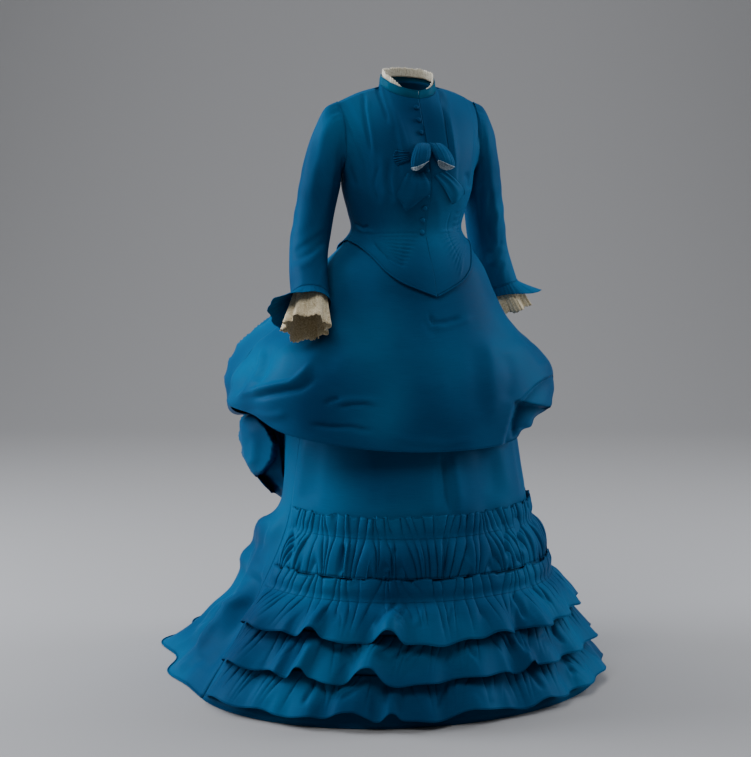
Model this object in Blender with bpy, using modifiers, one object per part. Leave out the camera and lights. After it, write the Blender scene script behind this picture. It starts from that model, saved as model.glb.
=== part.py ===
"""Bustle dress of the early 1870s: fitted bodice with a pointed basque, long sleeves with frills,
draped overskirt over a bustle, and a trained underskirt with gathered flounces.

Metres, +Z up, the front faces -Y and the wearer's left is +X. Heights below are measured from the
floor that the hem touches. The empty at the end puts the world origin at the middle of the waist.
"""

import math
from collections import namedtuple

import bmesh
import bpy
import numpy as np
from mathutils import Vector

# Driving sizes
WAIST_HEIGHT = 1.020
BUST_HEIGHT = 1.120
CLOTH = 0.0012
THIN_CLOTH = 0.0010
SEAM_GAP = 0.0003
QUARTER = math.pi / 2

# Silk colours and the pale trimmings, in linear light
SILK_BLUE = (0.004, 0.055, 0.125, 1.0)
COLLAR_TEAL = (0.006, 0.085, 0.150, 1.0)
PALE_SILK = (0.480, 0.600, 0.660, 1.0)
CREAM_LACE = (0.560, 0.480, 0.350, 1.0)
IVORY_FRILL = (0.800, 0.770, 0.680, 1.0)

# A section is half an oval in front and half of another behind, both as wide as half_width.
# corner under 1 squares the back half out.
Section = namedtuple("Section", "height half_width front back corner")

BODICE_FORM = (
    Section(0.880, 0.2145, 0.1640, 0.335, 1.0),
    Section(0.940, 0.1860, 0.1410, 0.240, 1.0),
    Section(0.985, 0.1530, 0.1175, 0.152, 1.0),
    Section(1.020, 0.1290, 0.1030, 0.102, 1.0),
    Section(1.060, 0.1350, 0.1100, 0.100, 1.0),
    Section(1.095, 0.1450, 0.1270, 0.105, 1.0),
    Section(1.120, 0.1510, 0.1360, 0.110, 1.0),
    Section(1.160, 0.1560, 0.1360, 0.118, 1.0),
)

OVERSKIRT_FORM = (
    Section(0.550, 0.346, 0.250, 0.500, 0.85),
    Section(0.600, 0.358, 0.246, 0.520, 0.85),
    Section(0.650, 0.362, 0.238, 0.530, 0.85),
    Section(0.700, 0.352, 0.226, 0.530, 0.85),
    Section(0.730, 0.334, 0.217, 0.520, 0.85),
    Section(0.762, 0.306, 0.207, 0.505, 0.86),
    Section(0.785, 0.272, 0.198, 0.488, 0.88),
    Section(0.810, 0.248, 0.187, 0.460, 0.90),
    Section(0.850, 0.223, 0.171, 0.395, 0.95),
    Section(0.880, 0.2080, 0.1590, 0.3270, 1.0),
    Section(0.940, 0.1805, 0.1360, 0.2315, 1.0),
    Section(0.985, 0.1475, 0.1125, 0.1435, 1.0),
    Section(1.020, 0.1235, 0.0975, 0.0940, 1.0),
)

UNDERSKIRT_FORM = (
    Section(0.000, 0.472, 0.398, 0.735, 0.84),
    Section(0.050, 0.442, 0.378, 0.620, 0.86),
    Section(0.110, 0.406, 0.354, 0.520, 0.90),
    Section(0.170, 0.376, 0.334, 0.450, 0.94),
    Section(0.247, 0.342, 0.309, 0.470, 1.0),
    Section(0.310, 0.314, 0.287, 0.400, 1.0),
    Section(0.372, 0.290, 0.264, 0.300, 1.0),
    Section(0.460, 0.272, 0.238, 0.300, 1.0),
    Section(0.560, 0.258, 0.214, 0.370, 1.0),
    Section(0.660, 0.240, 0.192, 0.420, 1.0),
    Section(0.760, 0.222, 0.168, 0.410, 1.0),
    Section(0.850, 0.192, 0.145, 0.320, 1.0),
    Section(0.940, 0.158, 0.119, 0.175, 1.0),
    Section(1.020, 0.1205, 0.0983, 0.0905, 1.0),
)


def smooth(xs, ys, x):
    """Smooth curve through (xs, ys) with xs rising, held level past both ends."""
    xs = np.asarray(xs, float)
    ys = np.asarray(ys, float)
    slopes = np.gradient(ys, xs)
    x = min(max(x, xs[0]), xs[-1])
    k = min(int(np.searchsorted(xs, x, side="right")) - 1, len(xs) - 2)
    width = xs[k + 1] - xs[k]
    t = (x - xs[k]) / width
    return float(
        (1 + 2 * t) * (1 - t) ** 2 * ys[k]
        + t * (1 - t) ** 2 * width * slopes[k]
        + t * t * (3 - 2 * t) * ys[k + 1]
        + t * t * (t - 1) * width * slopes[k + 1]
    )


def ease(t):
    """0 to 1 with level ends."""
    t = min(max(t, 0.0), 1.0)
    return t * t * (3 - 2 * t)


def section_at(form, height):
    heights = [s.height for s in form]
    return Section(height, *(smooth(heights, [s[k] for s in form], height) for k in range(1, 5)))


def powered(value, corner):
    return math.copysign(abs(value) ** corner, value)


def on_form(form, turn, height, out=0.0):
    """The point of a form at a turn from the centre front, positive to the wearer's left."""
    s = section_at(form, height)
    behind = math.cos(turn) < 0
    depth = s.back if behind else s.front
    bend = s.corner if behind else 1.0
    return Vector(
        (
            (s.half_width + out) * powered(math.sin(turn), bend),
            -(depth + out) * powered(math.cos(turn), bend),
            height,
        )
    )


NORMAL_REACH = 0.3


class Cloth:
    """A grid of points, rows by columns, that other pieces can be laid on."""

    def __init__(self, rows):
        self.rows = np.array([[tuple(p) for p in row] for row in rows], float)

    def spot(self, column, row):
        """The point at a fractional column and row, on the panel's own flat facets."""
        last_row = len(self.rows) - 1
        last_column = len(self.rows[0]) - 1
        r = min(max(row, 0.0), last_row)
        c = min(max(column, 0.0), last_column)
        r0 = min(int(r), last_row - 1)
        c0 = min(int(c), last_column - 1)
        fr = r - r0
        fc = c - c0
        g = self.rows
        low = g[r0][c0] * (1 - fc) + g[r0][c0 + 1] * fc
        high = g[r0 + 1][c0] * (1 - fc) + g[r0 + 1][c0 + 1] * fc
        return low * (1 - fr) + high * fr

    def row_at(self, column, height):
        """The fractional row where a column passes a height."""
        heights = [self.spot(column, r)[2] for r in range(len(self.rows))]
        rows = list(range(len(heights)))
        if heights[0] > heights[-1]:
            heights.reverse()
            rows.reverse()
        return float(np.interp(height, heights, rows))

    def normal(self, column, row):
        """The outward normal near a spot: rows run down or up, columns either way."""
        along = self.spot(column + NORMAL_REACH, row) - self.spot(column - NORMAL_REACH, row)
        up = self.spot(column, row + NORMAL_REACH) - self.spot(column, row - NORMAL_REACH)
        n = np.cross(along, up)
        n = n / np.linalg.norm(n)
        here = self.spot(column, row)
        outward = here[0] * n[0] + here[1] * n[1] + 1e-6 * n[2]
        return n if outward > 0 else -n

    def point(self, column, height, out=0.0):
        """A point on the panel at a column and a height, moved out from it."""
        row = self.row_at(column, height)
        return Vector(self.spot(column, row) + out * self.normal(column, row))


def clear_scene():
    for obj in list(bpy.data.objects):
        bpy.data.objects.remove(obj, do_unlink=True)


def make_material(name, colour, roughness):
    material = bpy.data.materials.new(name)
    material.use_nodes = True
    shader = material.node_tree.nodes["Principled BSDF"]
    shader.inputs["Base Color"].default_value = colour
    shader.inputs["Roughness"].default_value = roughness
    shader.inputs["Metallic"].default_value = 0.0
    return material


def finish_object(mesh, name, material):
    """Links a mesh as a named object that hangs from the waist."""
    mesh.materials.append(material)
    obj = bpy.data.objects.new(name, mesh)
    DRESS.objects.link(obj)
    obj.parent = WAIST
    return obj


def wall(name, rows, material, closed=False, thickness=CLOTH, inside=None):
    """A cloth wall: an open grid of points that Solidify thickens inwards.

    The cloth faces away from the point inside, or from the Z axis where none is given.
    """
    mesh = bpy.data.meshes.new(name)
    bm = bmesh.new()
    grid = [[bm.verts.new(tuple(p)) for p in row] for row in rows]
    columns = len(rows[0])
    for lower, upper in zip(grid, grid[1:]):
        for k in range(columns if closed else columns - 1):
            m = (k + 1) % columns
            bm.faces.new((lower[k], lower[m], upper[m], upper[k]))
    bm.normal_update()
    centre = Vector(inside) if inside is not None else None
    vote = 0.0
    for face in bm.faces:
        middle = face.calc_center_median()
        away = middle - centre if centre is not None else Vector((middle.x, middle.y, 0))
        vote += face.normal.dot(away) * face.calc_area()
    if vote < 0:
        bmesh.ops.reverse_faces(bm, faces=bm.faces)
    bm.to_mesh(mesh)
    bm.free()
    mesh.shade_smooth()
    obj = finish_object(mesh, name, material)
    solidify = obj.modifiers.new("cloth", "SOLIDIFY")
    solidify.thickness = thickness
    solidify.offset = -1.0
    return obj


def trimmed(rows, first=False, last=False, gap=SEAM_GAP):
    """Pulls the first or last column in by half a seam's gap."""
    out = []
    for row in rows:
        row = [Vector(p) for p in row]
        if first:
            row[0] = row[0] + (row[1] - row[0]).normalized() * gap / 2
        if last:
            row[-1] = row[-1] + (row[-2] - row[-1]).normalized() * gap / 2
        out.append(row)
    return out


def middle_of(rows):
    return sum((Vector(p) for row in rows for p in row), Vector()) / (len(rows) * len(rows[0]))


def mirrored(rows):
    return [[Vector((-p[0], p[1], p[2])) for p in row] for row in rows]


# Bodice

PANEL_STEPS = 10
TURN_STEP = QUARTER / PANEL_STEPS

TopPoint = namedtuple("TopPoint", "column x y z")

NECK_POINT = 3.6
SHOULDER_TIP = 6.9
FRONT_NECK = (
    TopPoint(0.0, 0.000, -0.064, 1.311),
    TopPoint(1.2, 0.033, -0.054, 1.317),
    TopPoint(2.4, 0.054, -0.034, 1.327),
    TopPoint(3.6, 0.064, -0.008, 1.339),
)
FRONT_SHOULDER = (
    TopPoint(3.6, 0.064, -0.008, 1.339),
    TopPoint(5.2, 0.114, -0.003, 1.326),
    TopPoint(6.9, 0.165, 0.000, 1.304),
)
FRONT_ARMHOLE = (
    TopPoint(6.9, 0.1650, 0.000, 1.304),
    TopPoint(7.7, 0.1660, -0.032, 1.270),
    TopPoint(8.5, 0.1660, -0.047, 1.225),
    TopPoint(9.3, 0.1620, -0.036, 1.176),
    TopPoint(10.0, 0.1550, 0.000, 1.150),
)
BACK_NECK = (
    TopPoint(0.0, 0.000, 0.044, 1.352),
    TopPoint(1.2, 0.028, 0.040, 1.351),
    TopPoint(2.4, 0.054, 0.024, 1.347),
    TopPoint(3.6, 0.064, -0.008, 1.339),
)
BACK_SHOULDER = FRONT_SHOULDER
BACK_ARMHOLE = (
    TopPoint(6.9, 0.1650, 0.000, 1.304),
    TopPoint(7.7, 0.1640, 0.032, 1.270),
    TopPoint(8.5, 0.1610, 0.048, 1.225),
    TopPoint(9.3, 0.1580, 0.036, 1.176),
    TopPoint(10.0, 0.1550, 0.000, 1.150),
)

# Columns of each front: two sharp pleats fall from the shoulder, at the pairs 3.6-3.9 and 6.1-6.4
FRONT_COLUMNS = (0.0, 1.2, 2.4, 3.6, 3.9, 5.0, 6.1, 6.4, 6.9, 7.7, 8.5, 9.3, 10.0)
PLEAT_EDGES = (3.6, 6.1)
PLEAT_START = 2.4
PLEAT_FALL = 0.3
PLEAT_DEPTH = 0.0045
BACK_COLUMNS = (0.0, 1.2, 2.4, 3.6, 5.2, 6.9, 7.7, 8.5, 9.3, 10.0)
FRONT_CROWDING = 1.25
SHOULDER_ROOM = 0.0017
LOWER_ROWS = 6
UPPER_SHARES = (0.2, 0.42, 0.64, 0.82, 0.93, 1.0)

# The basque's lower edge, by turn in degrees from the centre front
EDGE_TURNS = (0, 11, 23, 33, 42, 58, 75, 90, 120, 150, 180)
EDGE_HEIGHTS = (0.886, 0.902, 0.920, 0.941, 0.962, 0.986, 0.998, 1.002, 0.985, 0.958, 0.935)


def top_edge(parts, column):
    """Neck, shoulder and armhole of a panel as one line, by column."""
    part = next(p for p in parts if column <= p[-1].column + 1e-9)
    columns = [p.column for p in part]
    return Vector([smooth(columns, [p[k] for p in part], column) for k in (1, 2, 3)])


def basque_edge(turn):
    return smooth(EDGE_TURNS, EDGE_HEIGHTS, abs(math.degrees(turn)))


def pleat_rise(column):
    """Saw-tooth across the front: each pleat swells slowly and falls sharply."""
    start = PLEAT_START
    for edge in PLEAT_EDGES:
        if start <= column <= edge:
            return (column - start) / (edge - start)
        if edge < column < edge + PLEAT_FALL:
            return 1 - (column - edge) / PLEAT_FALL
        start = edge + PLEAT_FALL
    return 0.0


def bodice_turn(column, back):
    if back:
        return math.pi - column * TURN_STEP
    return QUARTER * (column / PANEL_STEPS) ** FRONT_CROWDING


def bodice_column(column, back):
    """Points from the basque's edge up to the neck, shoulder or armhole."""
    turn = bodice_turn(column, back)
    low = basque_edge(turn)
    points = []
    for k in range(LOWER_ROWS + 1):
        height = low + (BUST_HEIGHT - low) * k / LOWER_ROWS
        points.append(on_form(BODICE_FORM, turn, height))
    start = points[-1]
    if back:
        end = top_edge((BACK_NECK, BACK_SHOULDER, BACK_ARMHOLE), column)
    else:
        end = top_edge((FRONT_NECK, FRONT_SHOULDER, FRONT_ARMHOLE), column)
    if column > SHOULDER_TIP:
        flat = 1.9
    elif back:
        flat = 2.4
    else:
        flat = 1.25 + 1.35 * ease(column / NECK_POINT)
    for t in UPPER_SHARES:
        share = t**flat
        x = start.x + (end.x - start.x) * ease(t)
        y = start.y + (end.y - start.y) * share
        z = start.z + (end.z - start.z) * t
        if not back:
            fade = ease((z - 1.10) / 0.10) * (1 - 0.4 * t)
            y -= PLEAT_DEPTH * pleat_rise(column) * fade
        points.append(Vector((x, y, z)))
    return points


def bodice_rows(columns, back):
    made = [bodice_column(c, back) for c in columns]
    return [[column[r] for column in made] for r in range(len(made[0]))]


def shoulder_trim(rows, columns):
    """Ends the front and the back just short of the shoulder seam's ridge, so their walls clear."""
    top = rows[-1]
    for k, column in enumerate(columns):
        if NECK_POINT <= column <= SHOULDER_TIP:
            top[k] = top[k] + (rows[-2][k] - top[k]).normalized() * SHOULDER_ROOM
    return rows


def build_bodice(silk):
    front = shoulder_trim(bodice_rows(FRONT_COLUMNS, back=False), FRONT_COLUMNS)
    back = shoulder_trim(bodice_rows(BACK_COLUMNS, back=True), BACK_COLUMNS)
    front = trimmed(front, first=True, last=True, gap=2 * SEAM_GAP)
    back = trimmed(back, first=True, last=True, gap=2 * SEAM_GAP)
    wall("bodice_front_left", front, silk)
    wall("bodice_front_right", mirrored(front), silk)
    wall("bodice_back_left", back, silk)
    wall("bodice_back_right", mirrored(back), silk)
    return Cloth(front), Cloth(back)


# Piping along the basque's edge
PIPING_RADIUS = 0.0014
PIPING_POINTS = 14


def cord(name, points, radius, material):
    """A round cord along a smooth list of points, closed at its ends."""
    curve = bpy.data.curves.new(name, "CURVE")
    curve.dimensions = "3D"
    curve.bevel_depth = radius
    curve.bevel_resolution = 1
    curve.use_fill_caps = True
    spline = curve.splines.new("POLY")
    spline.points.add(len(points) - 1)
    for knot, p in zip(spline.points, points):
        knot.co = (*p, 1.0)
    return finish_object(curve, name, material)


def build_piping(front, silk):
    columns = len(front.rows[0]) - 1
    points = []
    for k in range(PIPING_POINTS):
        column = 0.04 + (columns - 0.09) * k / (PIPING_POINTS - 1)
        edge = Vector(front.spot(column, 0))
        normal = Vector(front.normal(column, 0.3))
        along = (edge - Vector(front.spot(column, 0.5))).normalized()
        points.append(edge + along * (PIPING_RADIUS + 5 * SEAM_GAP) - normal * CLOTH * 0.2)
    cord("piping_left", points, PIPING_RADIUS, silk)
    cord("piping_right", [Vector((-p.x, p.y, p.z)) for p in points], PIPING_RADIUS, silk)


# Collar and neck frill
COLLAR_HEIGHT = 0.0165
COLLAR_DIP = 0.0015
COLLAR_LEAN = 0.002
NECK_MIDDLE = Vector((0, -0.010, 1.34))
NECK_OPENING = math.radians(3)
COLLAR_TURNS = (3, 15, 30, 45, 60, 75, 90, 105, 120, 135, 150, 165, 180)
FRILL_WAVES = 12
FRILL_FOOT = 0.008
FRILL_TOP = 0.0285
FRILL_SWING = 0.0014


def neck_seam(front, back, turn):
    """A point of the neck's seam on the bodice's own edge, by turn from the centre front."""
    turn = math.atan2(math.sin(turn), math.cos(turn))
    share = abs(turn) / math.pi
    panel, share = (front, share * 2) if share <= 0.5 else (back, 2 - share * 2)
    p = panel.spot(3 * share, len(panel.rows) - 1)
    return Vector((math.copysign(p[0], turn), p[1], p[2]))


def collar_point(seam, rise, inset):
    """A point rise above the neck seam and inset towards the neck's middle."""
    inward = Vector((NECK_MIDDLE.x - seam.x, NECK_MIDDLE.y - seam.y, 0)).normalized()
    return seam + Vector((0, -0.12 * rise, rise)) + inward * inset


def build_collar(front, back, teal, ivory):
    half = [math.radians(t) for t in COLLAR_TURNS]
    turns = half + [2 * math.pi - t for t in half[-2::-1]]
    rows = []
    for share in (0.0, 0.5, 1.0):
        row = []
        for turn in turns:
            dip = COLLAR_DIP * ease((math.cos(turn) - 0.80) / 0.20)
            rise = 0.0008 + (COLLAR_HEIGHT - dip) * share
            row.append(collar_point(neck_seam(front, back, turn), rise, COLLAR_LEAN * share))
        rows.append(row)
    wall("collar", rows, teal, inside=NECK_MIDDLE)
    steps = FRILL_WAVES * 4
    rows = []
    for share in (0.0, 1.0):
        row = []
        for k in range(steps + 1):
            turn = NECK_OPENING + (2 * math.pi - 2 * NECK_OPENING) * k / steps
            swing = FRILL_SWING * math.sin(k * QUARTER) * (0.5 + 0.5 * share)
            rise = FRILL_FOOT + (FRILL_TOP - FRILL_FOOT) * share
            inset = 0.0030 + COLLAR_LEAN * rise / COLLAR_HEIGHT + swing
            row.append(collar_point(neck_seam(front, back, turn), rise, inset))
        rows.append(row)
    wall("neck_frill", rows, ivory, thickness=THIN_CLOTH, inside=NECK_MIDDLE)


# Sleeves: rings down the arm, each across its own direction
Station = namedtuple("Station", "x y z lean swing across along")

LEFT_SLEEVE = (
    Station(0.2000, 0.028, 1.125, 77, -16, 0.0440, 0.051),
    Station(0.2220, 0.054, 1.060, 73, -20, 0.0435, 0.048),
    Station(0.2390, 0.072, 1.000, 74, -6, 0.0435, 0.048),
    Station(0.2505, 0.075, 0.955, 75, 3, 0.0430, 0.046),
    Station(0.2600, 0.070, 0.918, 75, 6, 0.0425, 0.044),
    Station(0.2690, 0.064, 0.885, 75, 6, 0.0425, 0.043),
)
RIGHT_SLEEVE = (
    Station(0.2010, 0.014, 1.125, 83, -8, 0.0435, 0.051),
    Station(0.2090, 0.029, 1.060, 83, -12, 0.0425, 0.048),
    Station(0.2175, 0.038, 1.000, 79, 2, 0.0430, 0.048),
    Station(0.2290, 0.016, 0.955, 75, 30, 0.0420, 0.046),
    Station(0.2410, -0.017, 0.918, 72, 38, 0.0415, 0.044),
    Station(0.2530, -0.050, 0.885, 72, 38, 0.0415, 0.043),
)
SLEEVE_SIDES = 14
CAP_RINGS = 4
CAP_REACH = 0.105
CAP_DROP = 0.170
CAP_GAP = 0.0020


def station_axes(station):
    """Down-the-arm, outward and forward directions of a sleeve ring."""
    lean = math.radians(station.lean)
    swing = math.radians(station.swing)
    down = Vector((math.cos(lean) * math.cos(swing), -math.sin(swing), -math.sin(lean) * math.cos(swing)))
    outward = Vector((math.sin(lean), 0, math.cos(lean)))
    return down, outward, down.cross(outward)


def station_point(station, angle, out=0.0, further=0.0):
    down, outward, forward = station_axes(station)
    centre = Vector((station.x, station.y, station.z)) + down * further
    return (
        centre
        + outward * (station.across + out) * math.cos(angle)
        + forward * (station.along + out) * math.sin(angle)
    )


def armhole_loop(front, back):
    """The armhole's corners, from the shoulder tip down the front and up the back."""
    count = len([c for c in FRONT_COLUMNS if c >= SHOULDER_TIP])
    going_down = [Vector(p) for p in front.rows[-1][-count:]]
    going_up = [Vector(p) for p in back.rows[-1][-count:]][::-1]
    return going_down + going_up


def loop_point(loop, share):
    """A point at a share of the way round a closed line of corners."""
    ends = loop[1:] + loop[:1]
    lengths = [(b - a).length for a, b in zip(loop, ends)]
    left = share * sum(lengths)
    for a, b, length in zip(loop, ends, lengths):
        if left <= length and length > 1e-6:
            return a.lerp(b, left / length)
        left -= length
    return loop[0].copy()


def sleeve_rows(front, back, stations):
    loop = armhole_loop(front, back)
    first = stations[0]
    down = station_axes(first)[0]
    rows = []
    for ring in range(CAP_RINGS + 1):
        t = ring / (CAP_RINGS + 1)
        row = []
        for k in range(SLEEVE_SIDES):
            angle = 2 * math.pi * k / SLEEVE_SIDES
            start = loop_point(loop, k / SLEEVE_SIDES) + Vector((CAP_GAP, 0, 0))
            end = station_point(first, angle)
            fullness = 0.5 + 0.5 * math.cos(angle)
            leave = Vector((0.030 + CAP_REACH * fullness, 0, 0))
            arrive = down * (0.035 + CAP_DROP * fullness)
            row.append(
                start * ((1 + 2 * t) * (1 - t) ** 2)
                + leave * (t * (1 - t) ** 2)
                + end * (t * t * (3 - 2 * t))
                + arrive * (t * t * (t - 1))
            )
        rows.append(row)
    for station in stations:
        rows.append([station_point(station, 2 * math.pi * k / SLEEVE_SIDES) for k in range(SLEEVE_SIDES)])
    return rows


# Frills at the wrist. rear is the angle, round the wrist, where the silk frill is longest.
Wrist = namedtuple("Wrist", "rear cuff_long lace_long lace_spread lace_shift")
LEFT_WRIST = Wrist(336, 0.060, 0.070, 0.002, (0.012, -0.004, -0.002))
RIGHT_WRIST = Wrist(334, 0.064, 0.080, 0.009, (0.014, -0.010, -0.010))
CUFF_WAVES = 4
CUFF_SIDES = 24
CUFF_SHORT = 0.020
CUFF_FLARE = 0.044
LACE_WAVES = 10


def cuff_rows(stations, wrist):
    """The silk frill: short over the hand, long and flared at the back of the wrist."""
    rows = []
    for share in (0.0, 0.5, 1.0):
        row = []
        for k in range(CUFF_SIDES):
            angle = 2 * math.pi * k / CUFF_SIDES
            rear = ease(0.5 + 0.5 * math.cos(angle - math.radians(wrist.rear))) ** 1.4
            length = CUFF_SHORT + (wrist.cuff_long - CUFF_SHORT) * rear
            flare = (0.004 + CUFF_FLARE * rear) * share**1.2
            wave = 0.0035 * share * rear * math.cos(CUFF_WAVES * angle)
            further = 2 * SEAM_GAP + length * share * (1 - 0.3 * rear)
            row.append(station_point(stations[-1], angle, flare + wave, further))
        rows.append(row)
    return rows


def lace_rows(stations, wrist):
    """The lace frill inside the silk one, which hangs on towards the hand."""
    steps = LACE_WAVES * 3
    rows = []
    for share in (0.0, 0.45, 1.0):
        row = []
        for k in range(steps):
            angle = 2 * math.pi * k / steps
            wave = (0.0012 + 0.0038 * share) * math.cos(LACE_WAVES * angle)
            out = -0.0051 + wrist.lace_spread * share + wave
            p = station_point(stations[-1], angle, out, -0.006 + wrist.lace_long * share)
            row.append(p + Vector(wrist.lace_shift) * share)
        rows.append(row)
    return rows


def build_sleeve(side, front, back, silk, lace):
    stations, wrist = (LEFT_SLEEVE, LEFT_WRIST) if side == "left" else (RIGHT_SLEEVE, RIGHT_WRIST)
    pieces = (
        ("sleeve_", sleeve_rows(front, back, stations), silk, CLOTH),
        ("cuff_frill_", cuff_rows(stations, wrist), silk, THIN_CLOTH),
        ("lace_frill_", lace_rows(stations, wrist), lace, THIN_CLOTH),
    )
    for name, rows, material, thickness in pieces:
        if side == "right":
            rows = mirrored(rows)
        wall(name + side, rows, material, closed=True, thickness=thickness, inside=middle_of(rows))


# Buttons, on the right front, and the bow
BUTTON_COUNT = 11
BUTTON_TOP = 1.291
BUTTON_PITCH = 0.0270
BUTTON_RADIUS = 0.0055
BUTTON_RISE = 0.0036
BUTTON_SEAT = 0.0018
BUTTON_X = -0.0105
BUTTON_SIDES = 8
SHANK_RADIUS = 0.0017
BUTTON_PROFILE = (
    (SHANK_RADIUS, 2 * SEAM_GAP),
    (SHANK_RADIUS, BUTTON_SEAT),
    (BUTTON_RADIUS, BUTTON_SEAT),
    (BUTTON_RADIUS * 0.6, BUTTON_SEAT + BUTTON_RISE),
)


def on_front(front, x, height, out=0.0):
    """A point on whichever front holds x, at a height, moved out from it."""
    low = 0.0
    high = len(front.rows[0]) - 1.0
    for _ in range(24):
        middle = (low + high) / 2
        if front.point(middle, height).x < abs(x):
            low = middle
        else:
            high = middle
    p = front.point(low, height, out)
    return Vector((math.copysign(p.x, x), p.y, p.z))


def solid_from(bm, name, material):
    mesh = bpy.data.meshes.new(name)
    bm.to_mesh(mesh)
    bm.free()
    return finish_object(mesh, name, material)


def turned(name, profile, sides, material):
    """A closed solid turned round Z from (radius, height) pairs that start at its foot."""
    bm = bmesh.new()
    rings = []
    for radius, height in profile:
        angles = [2 * math.pi * k / sides for k in range(sides)]
        rings.append([bm.verts.new((radius * math.cos(a), radius * math.sin(a), height)) for a in angles])
    for lower, upper in zip(rings, rings[1:]):
        for k in range(sides):
            m = (k + 1) % sides
            bm.faces.new((lower[k], lower[m], upper[m], upper[k]))
    bm.faces.new(rings[0][::-1])
    bm.faces.new(rings[-1])
    return solid_from(bm, name, material)


def build_buttons(front, silk):
    for k in range(BUTTON_COUNT):
        height = BUTTON_TOP - BUTTON_PITCH * k
        seat = on_front(front, BUTTON_X, height)
        outward = on_front(front, BUTTON_X, height, 1.0) - seat
        obj = turned(f"button_{k + 1:02d}", BUTTON_PROFILE, BUTTON_SIDES, silk)
        obj.location = seat
        obj.rotation_mode = "QUATERNION"
        obj.rotation_quaternion = outward.to_track_quat("Z", "Y")


# Each loop is a bell of ribbon, open below, with its pale facing inside
LoopRing = namedtuple("LoopRing", "share x height half_width half_depth")
LOOP_RINGS = (
    LoopRing(0.0, 0.0160, 1.205, 0.0075, 0.0035),
    LoopRing(0.4, 0.0240, 1.192, 0.0155, 0.0070),
    LoopRing(0.75, 0.0290, 1.176, 0.0210, 0.0095),
    LoopRing(1.0, 0.0305, 1.164, 0.0215, 0.0105),
)
LOOP_SIDES = 12
LOOP_TILT = 0.0085
LOOP_SHIFT = {1: 0.0036, -1: 0.0003}
LOOP_CLEAR = 0.0068
KNOT_X = -0.0045
KNOT_HEIGHT = 1.1965
KNOT_HALVES = (0.0090, 0.0110, 0.0118)
FACING_INSET = CLOTH + 3 * SEAM_GAP

TailRow = namedtuple("TailRow", "clear x0 z0 x1 z1 x2 z2")
TAILS = {
    "bow_tail_right": (
        TailRow(0.0024, -0.056, 1.152, -0.038, 1.152, -0.020, 1.152),
        TailRow(0.0092, -0.066, 1.127, -0.038, 1.129, -0.010, 1.131),
        TailRow(0.0092, -0.075, 1.103, -0.042, 1.100, -0.006, 1.109),
        TailRow(0.0070, -0.062, 1.088, -0.050, 1.073, -0.028, 1.091),
    ),
    "bow_tail_left": (
        TailRow(0.0038, 0.006, 1.144, 0.020, 1.149, 0.034, 1.154),
        TailRow(0.0046, 0.026, 1.121, 0.044, 1.130, 0.060, 1.136),
        TailRow(0.0050, 0.044, 1.099, 0.064, 1.109, 0.084, 1.117),
        TailRow(0.0050, 0.058, 1.083, 0.070, 1.090, 0.090, 1.104),
    ),
}
GATHER_WAVES = 4


def loop_rows(front, side, rings, inset):
    rows = []
    for ring in rings:
        x = side * ring.x + KNOT_X + LOOP_SHIFT[side]
        centre = on_front(front, x, ring.height, LOOP_CLEAR + ring.half_depth)
        row = []
        for k in range(LOOP_SIDES):
            angle = 2 * math.pi * k / LOOP_SIDES
            forward = math.cos(angle)
            row.append(
                centre
                + Vector(
                    (
                        side * (ring.half_width - inset) * math.sin(angle),
                        -(ring.half_depth - inset) * forward,
                        LOOP_TILT * ring.share**2 * forward,
                    )
                )
            )
        rows.append(row)
    return rows


def build_bow(front, silk, pale):
    for side, word in ((-1, "right"), (1, "left")):
        rows = loop_rows(front, side, LOOP_RINGS, 0.0)
        wall("bow_loop_" + word, rows, silk, closed=True, inside=middle_of(rows))
        rows = loop_rows(front, side, LOOP_RINGS[2:], FACING_INSET)
        wall("bow_facing_" + word, rows, pale, closed=True, thickness=THIN_CLOTH, inside=middle_of(rows))
    for name, table in TAILS.items():
        rows = []
        for t in table:
            rows.append([on_front(front, t[k], t[k + 1], t.clear) for k in (1, 3, 5)])
        wall(name, rows, silk)
    rows = []
    for share in (0.0, 0.5, 1.0):
        row = []
        for k in range(GATHER_WAVES * 3 + 1):
            spread = 0.016 + 0.004 * share
            height = 1.188 + spread * (2 * k / (GATHER_WAVES * 3) - 1)
            swell = 0.0050 - 0.0018 * share + 0.0014 * math.cos(2 * math.pi * k / 3)
            row.append(on_front(front, -0.052 - 0.032 * share, height, swell))
        rows.append(row)
    wall("bow_gathers", rows, silk, thickness=THIN_CLOTH)
    bm = bmesh.new()
    bmesh.ops.create_uvsphere(bm, u_segments=8, v_segments=6, radius=1.0)
    bmesh.ops.scale(bm, verts=bm.verts, vec=KNOT_HALVES)
    knot = solid_from(bm, "bow_knot", silk)
    knot.location = on_front(front, KNOT_X, KNOT_HEIGHT, KNOT_HALVES[1] + 0.0004)


# Skirts
UNDERSKIRT_HEIGHTS = (
    1.016, 0.940, 0.850, 0.720, 0.590, 0.460, 0.372, 0.310, 0.247, 0.178, 0.100, 0.050, 0.0
)
TRAIN_STEPS = 24
TRAIN_FOLDS = 7
TRAIN_FOLD_DEPTH = 0.020
PLEAT_TURN = math.radians(20)
HEM_SWAY = -0.020
SWAY_HEIGHT = 0.35


def underskirt_point(turn, height):
    """The underskirt, with one pressed pleat left of the front and soft folds in the train."""
    out = 0.0
    if math.cos(turn) < 0:
        behind = (abs(turn) - QUARTER) / QUARTER
        spread = ease((0.40 - height) / 0.30) * ease(behind * 5)
        out = TRAIN_FOLD_DEPTH * spread * math.cos(2 * TRAIN_FOLDS * (abs(turn) - math.pi))
    elif 0.38 < height < 0.62:
        out = -0.009 * math.exp(-(((turn - PLEAT_TURN) / math.radians(7)) ** 2))
    sway = Vector((HEM_SWAY * ease(1 - height / SWAY_HEIGHT), 0, 0))
    return on_form(UNDERSKIRT_FORM, turn, height, out) + sway


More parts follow.
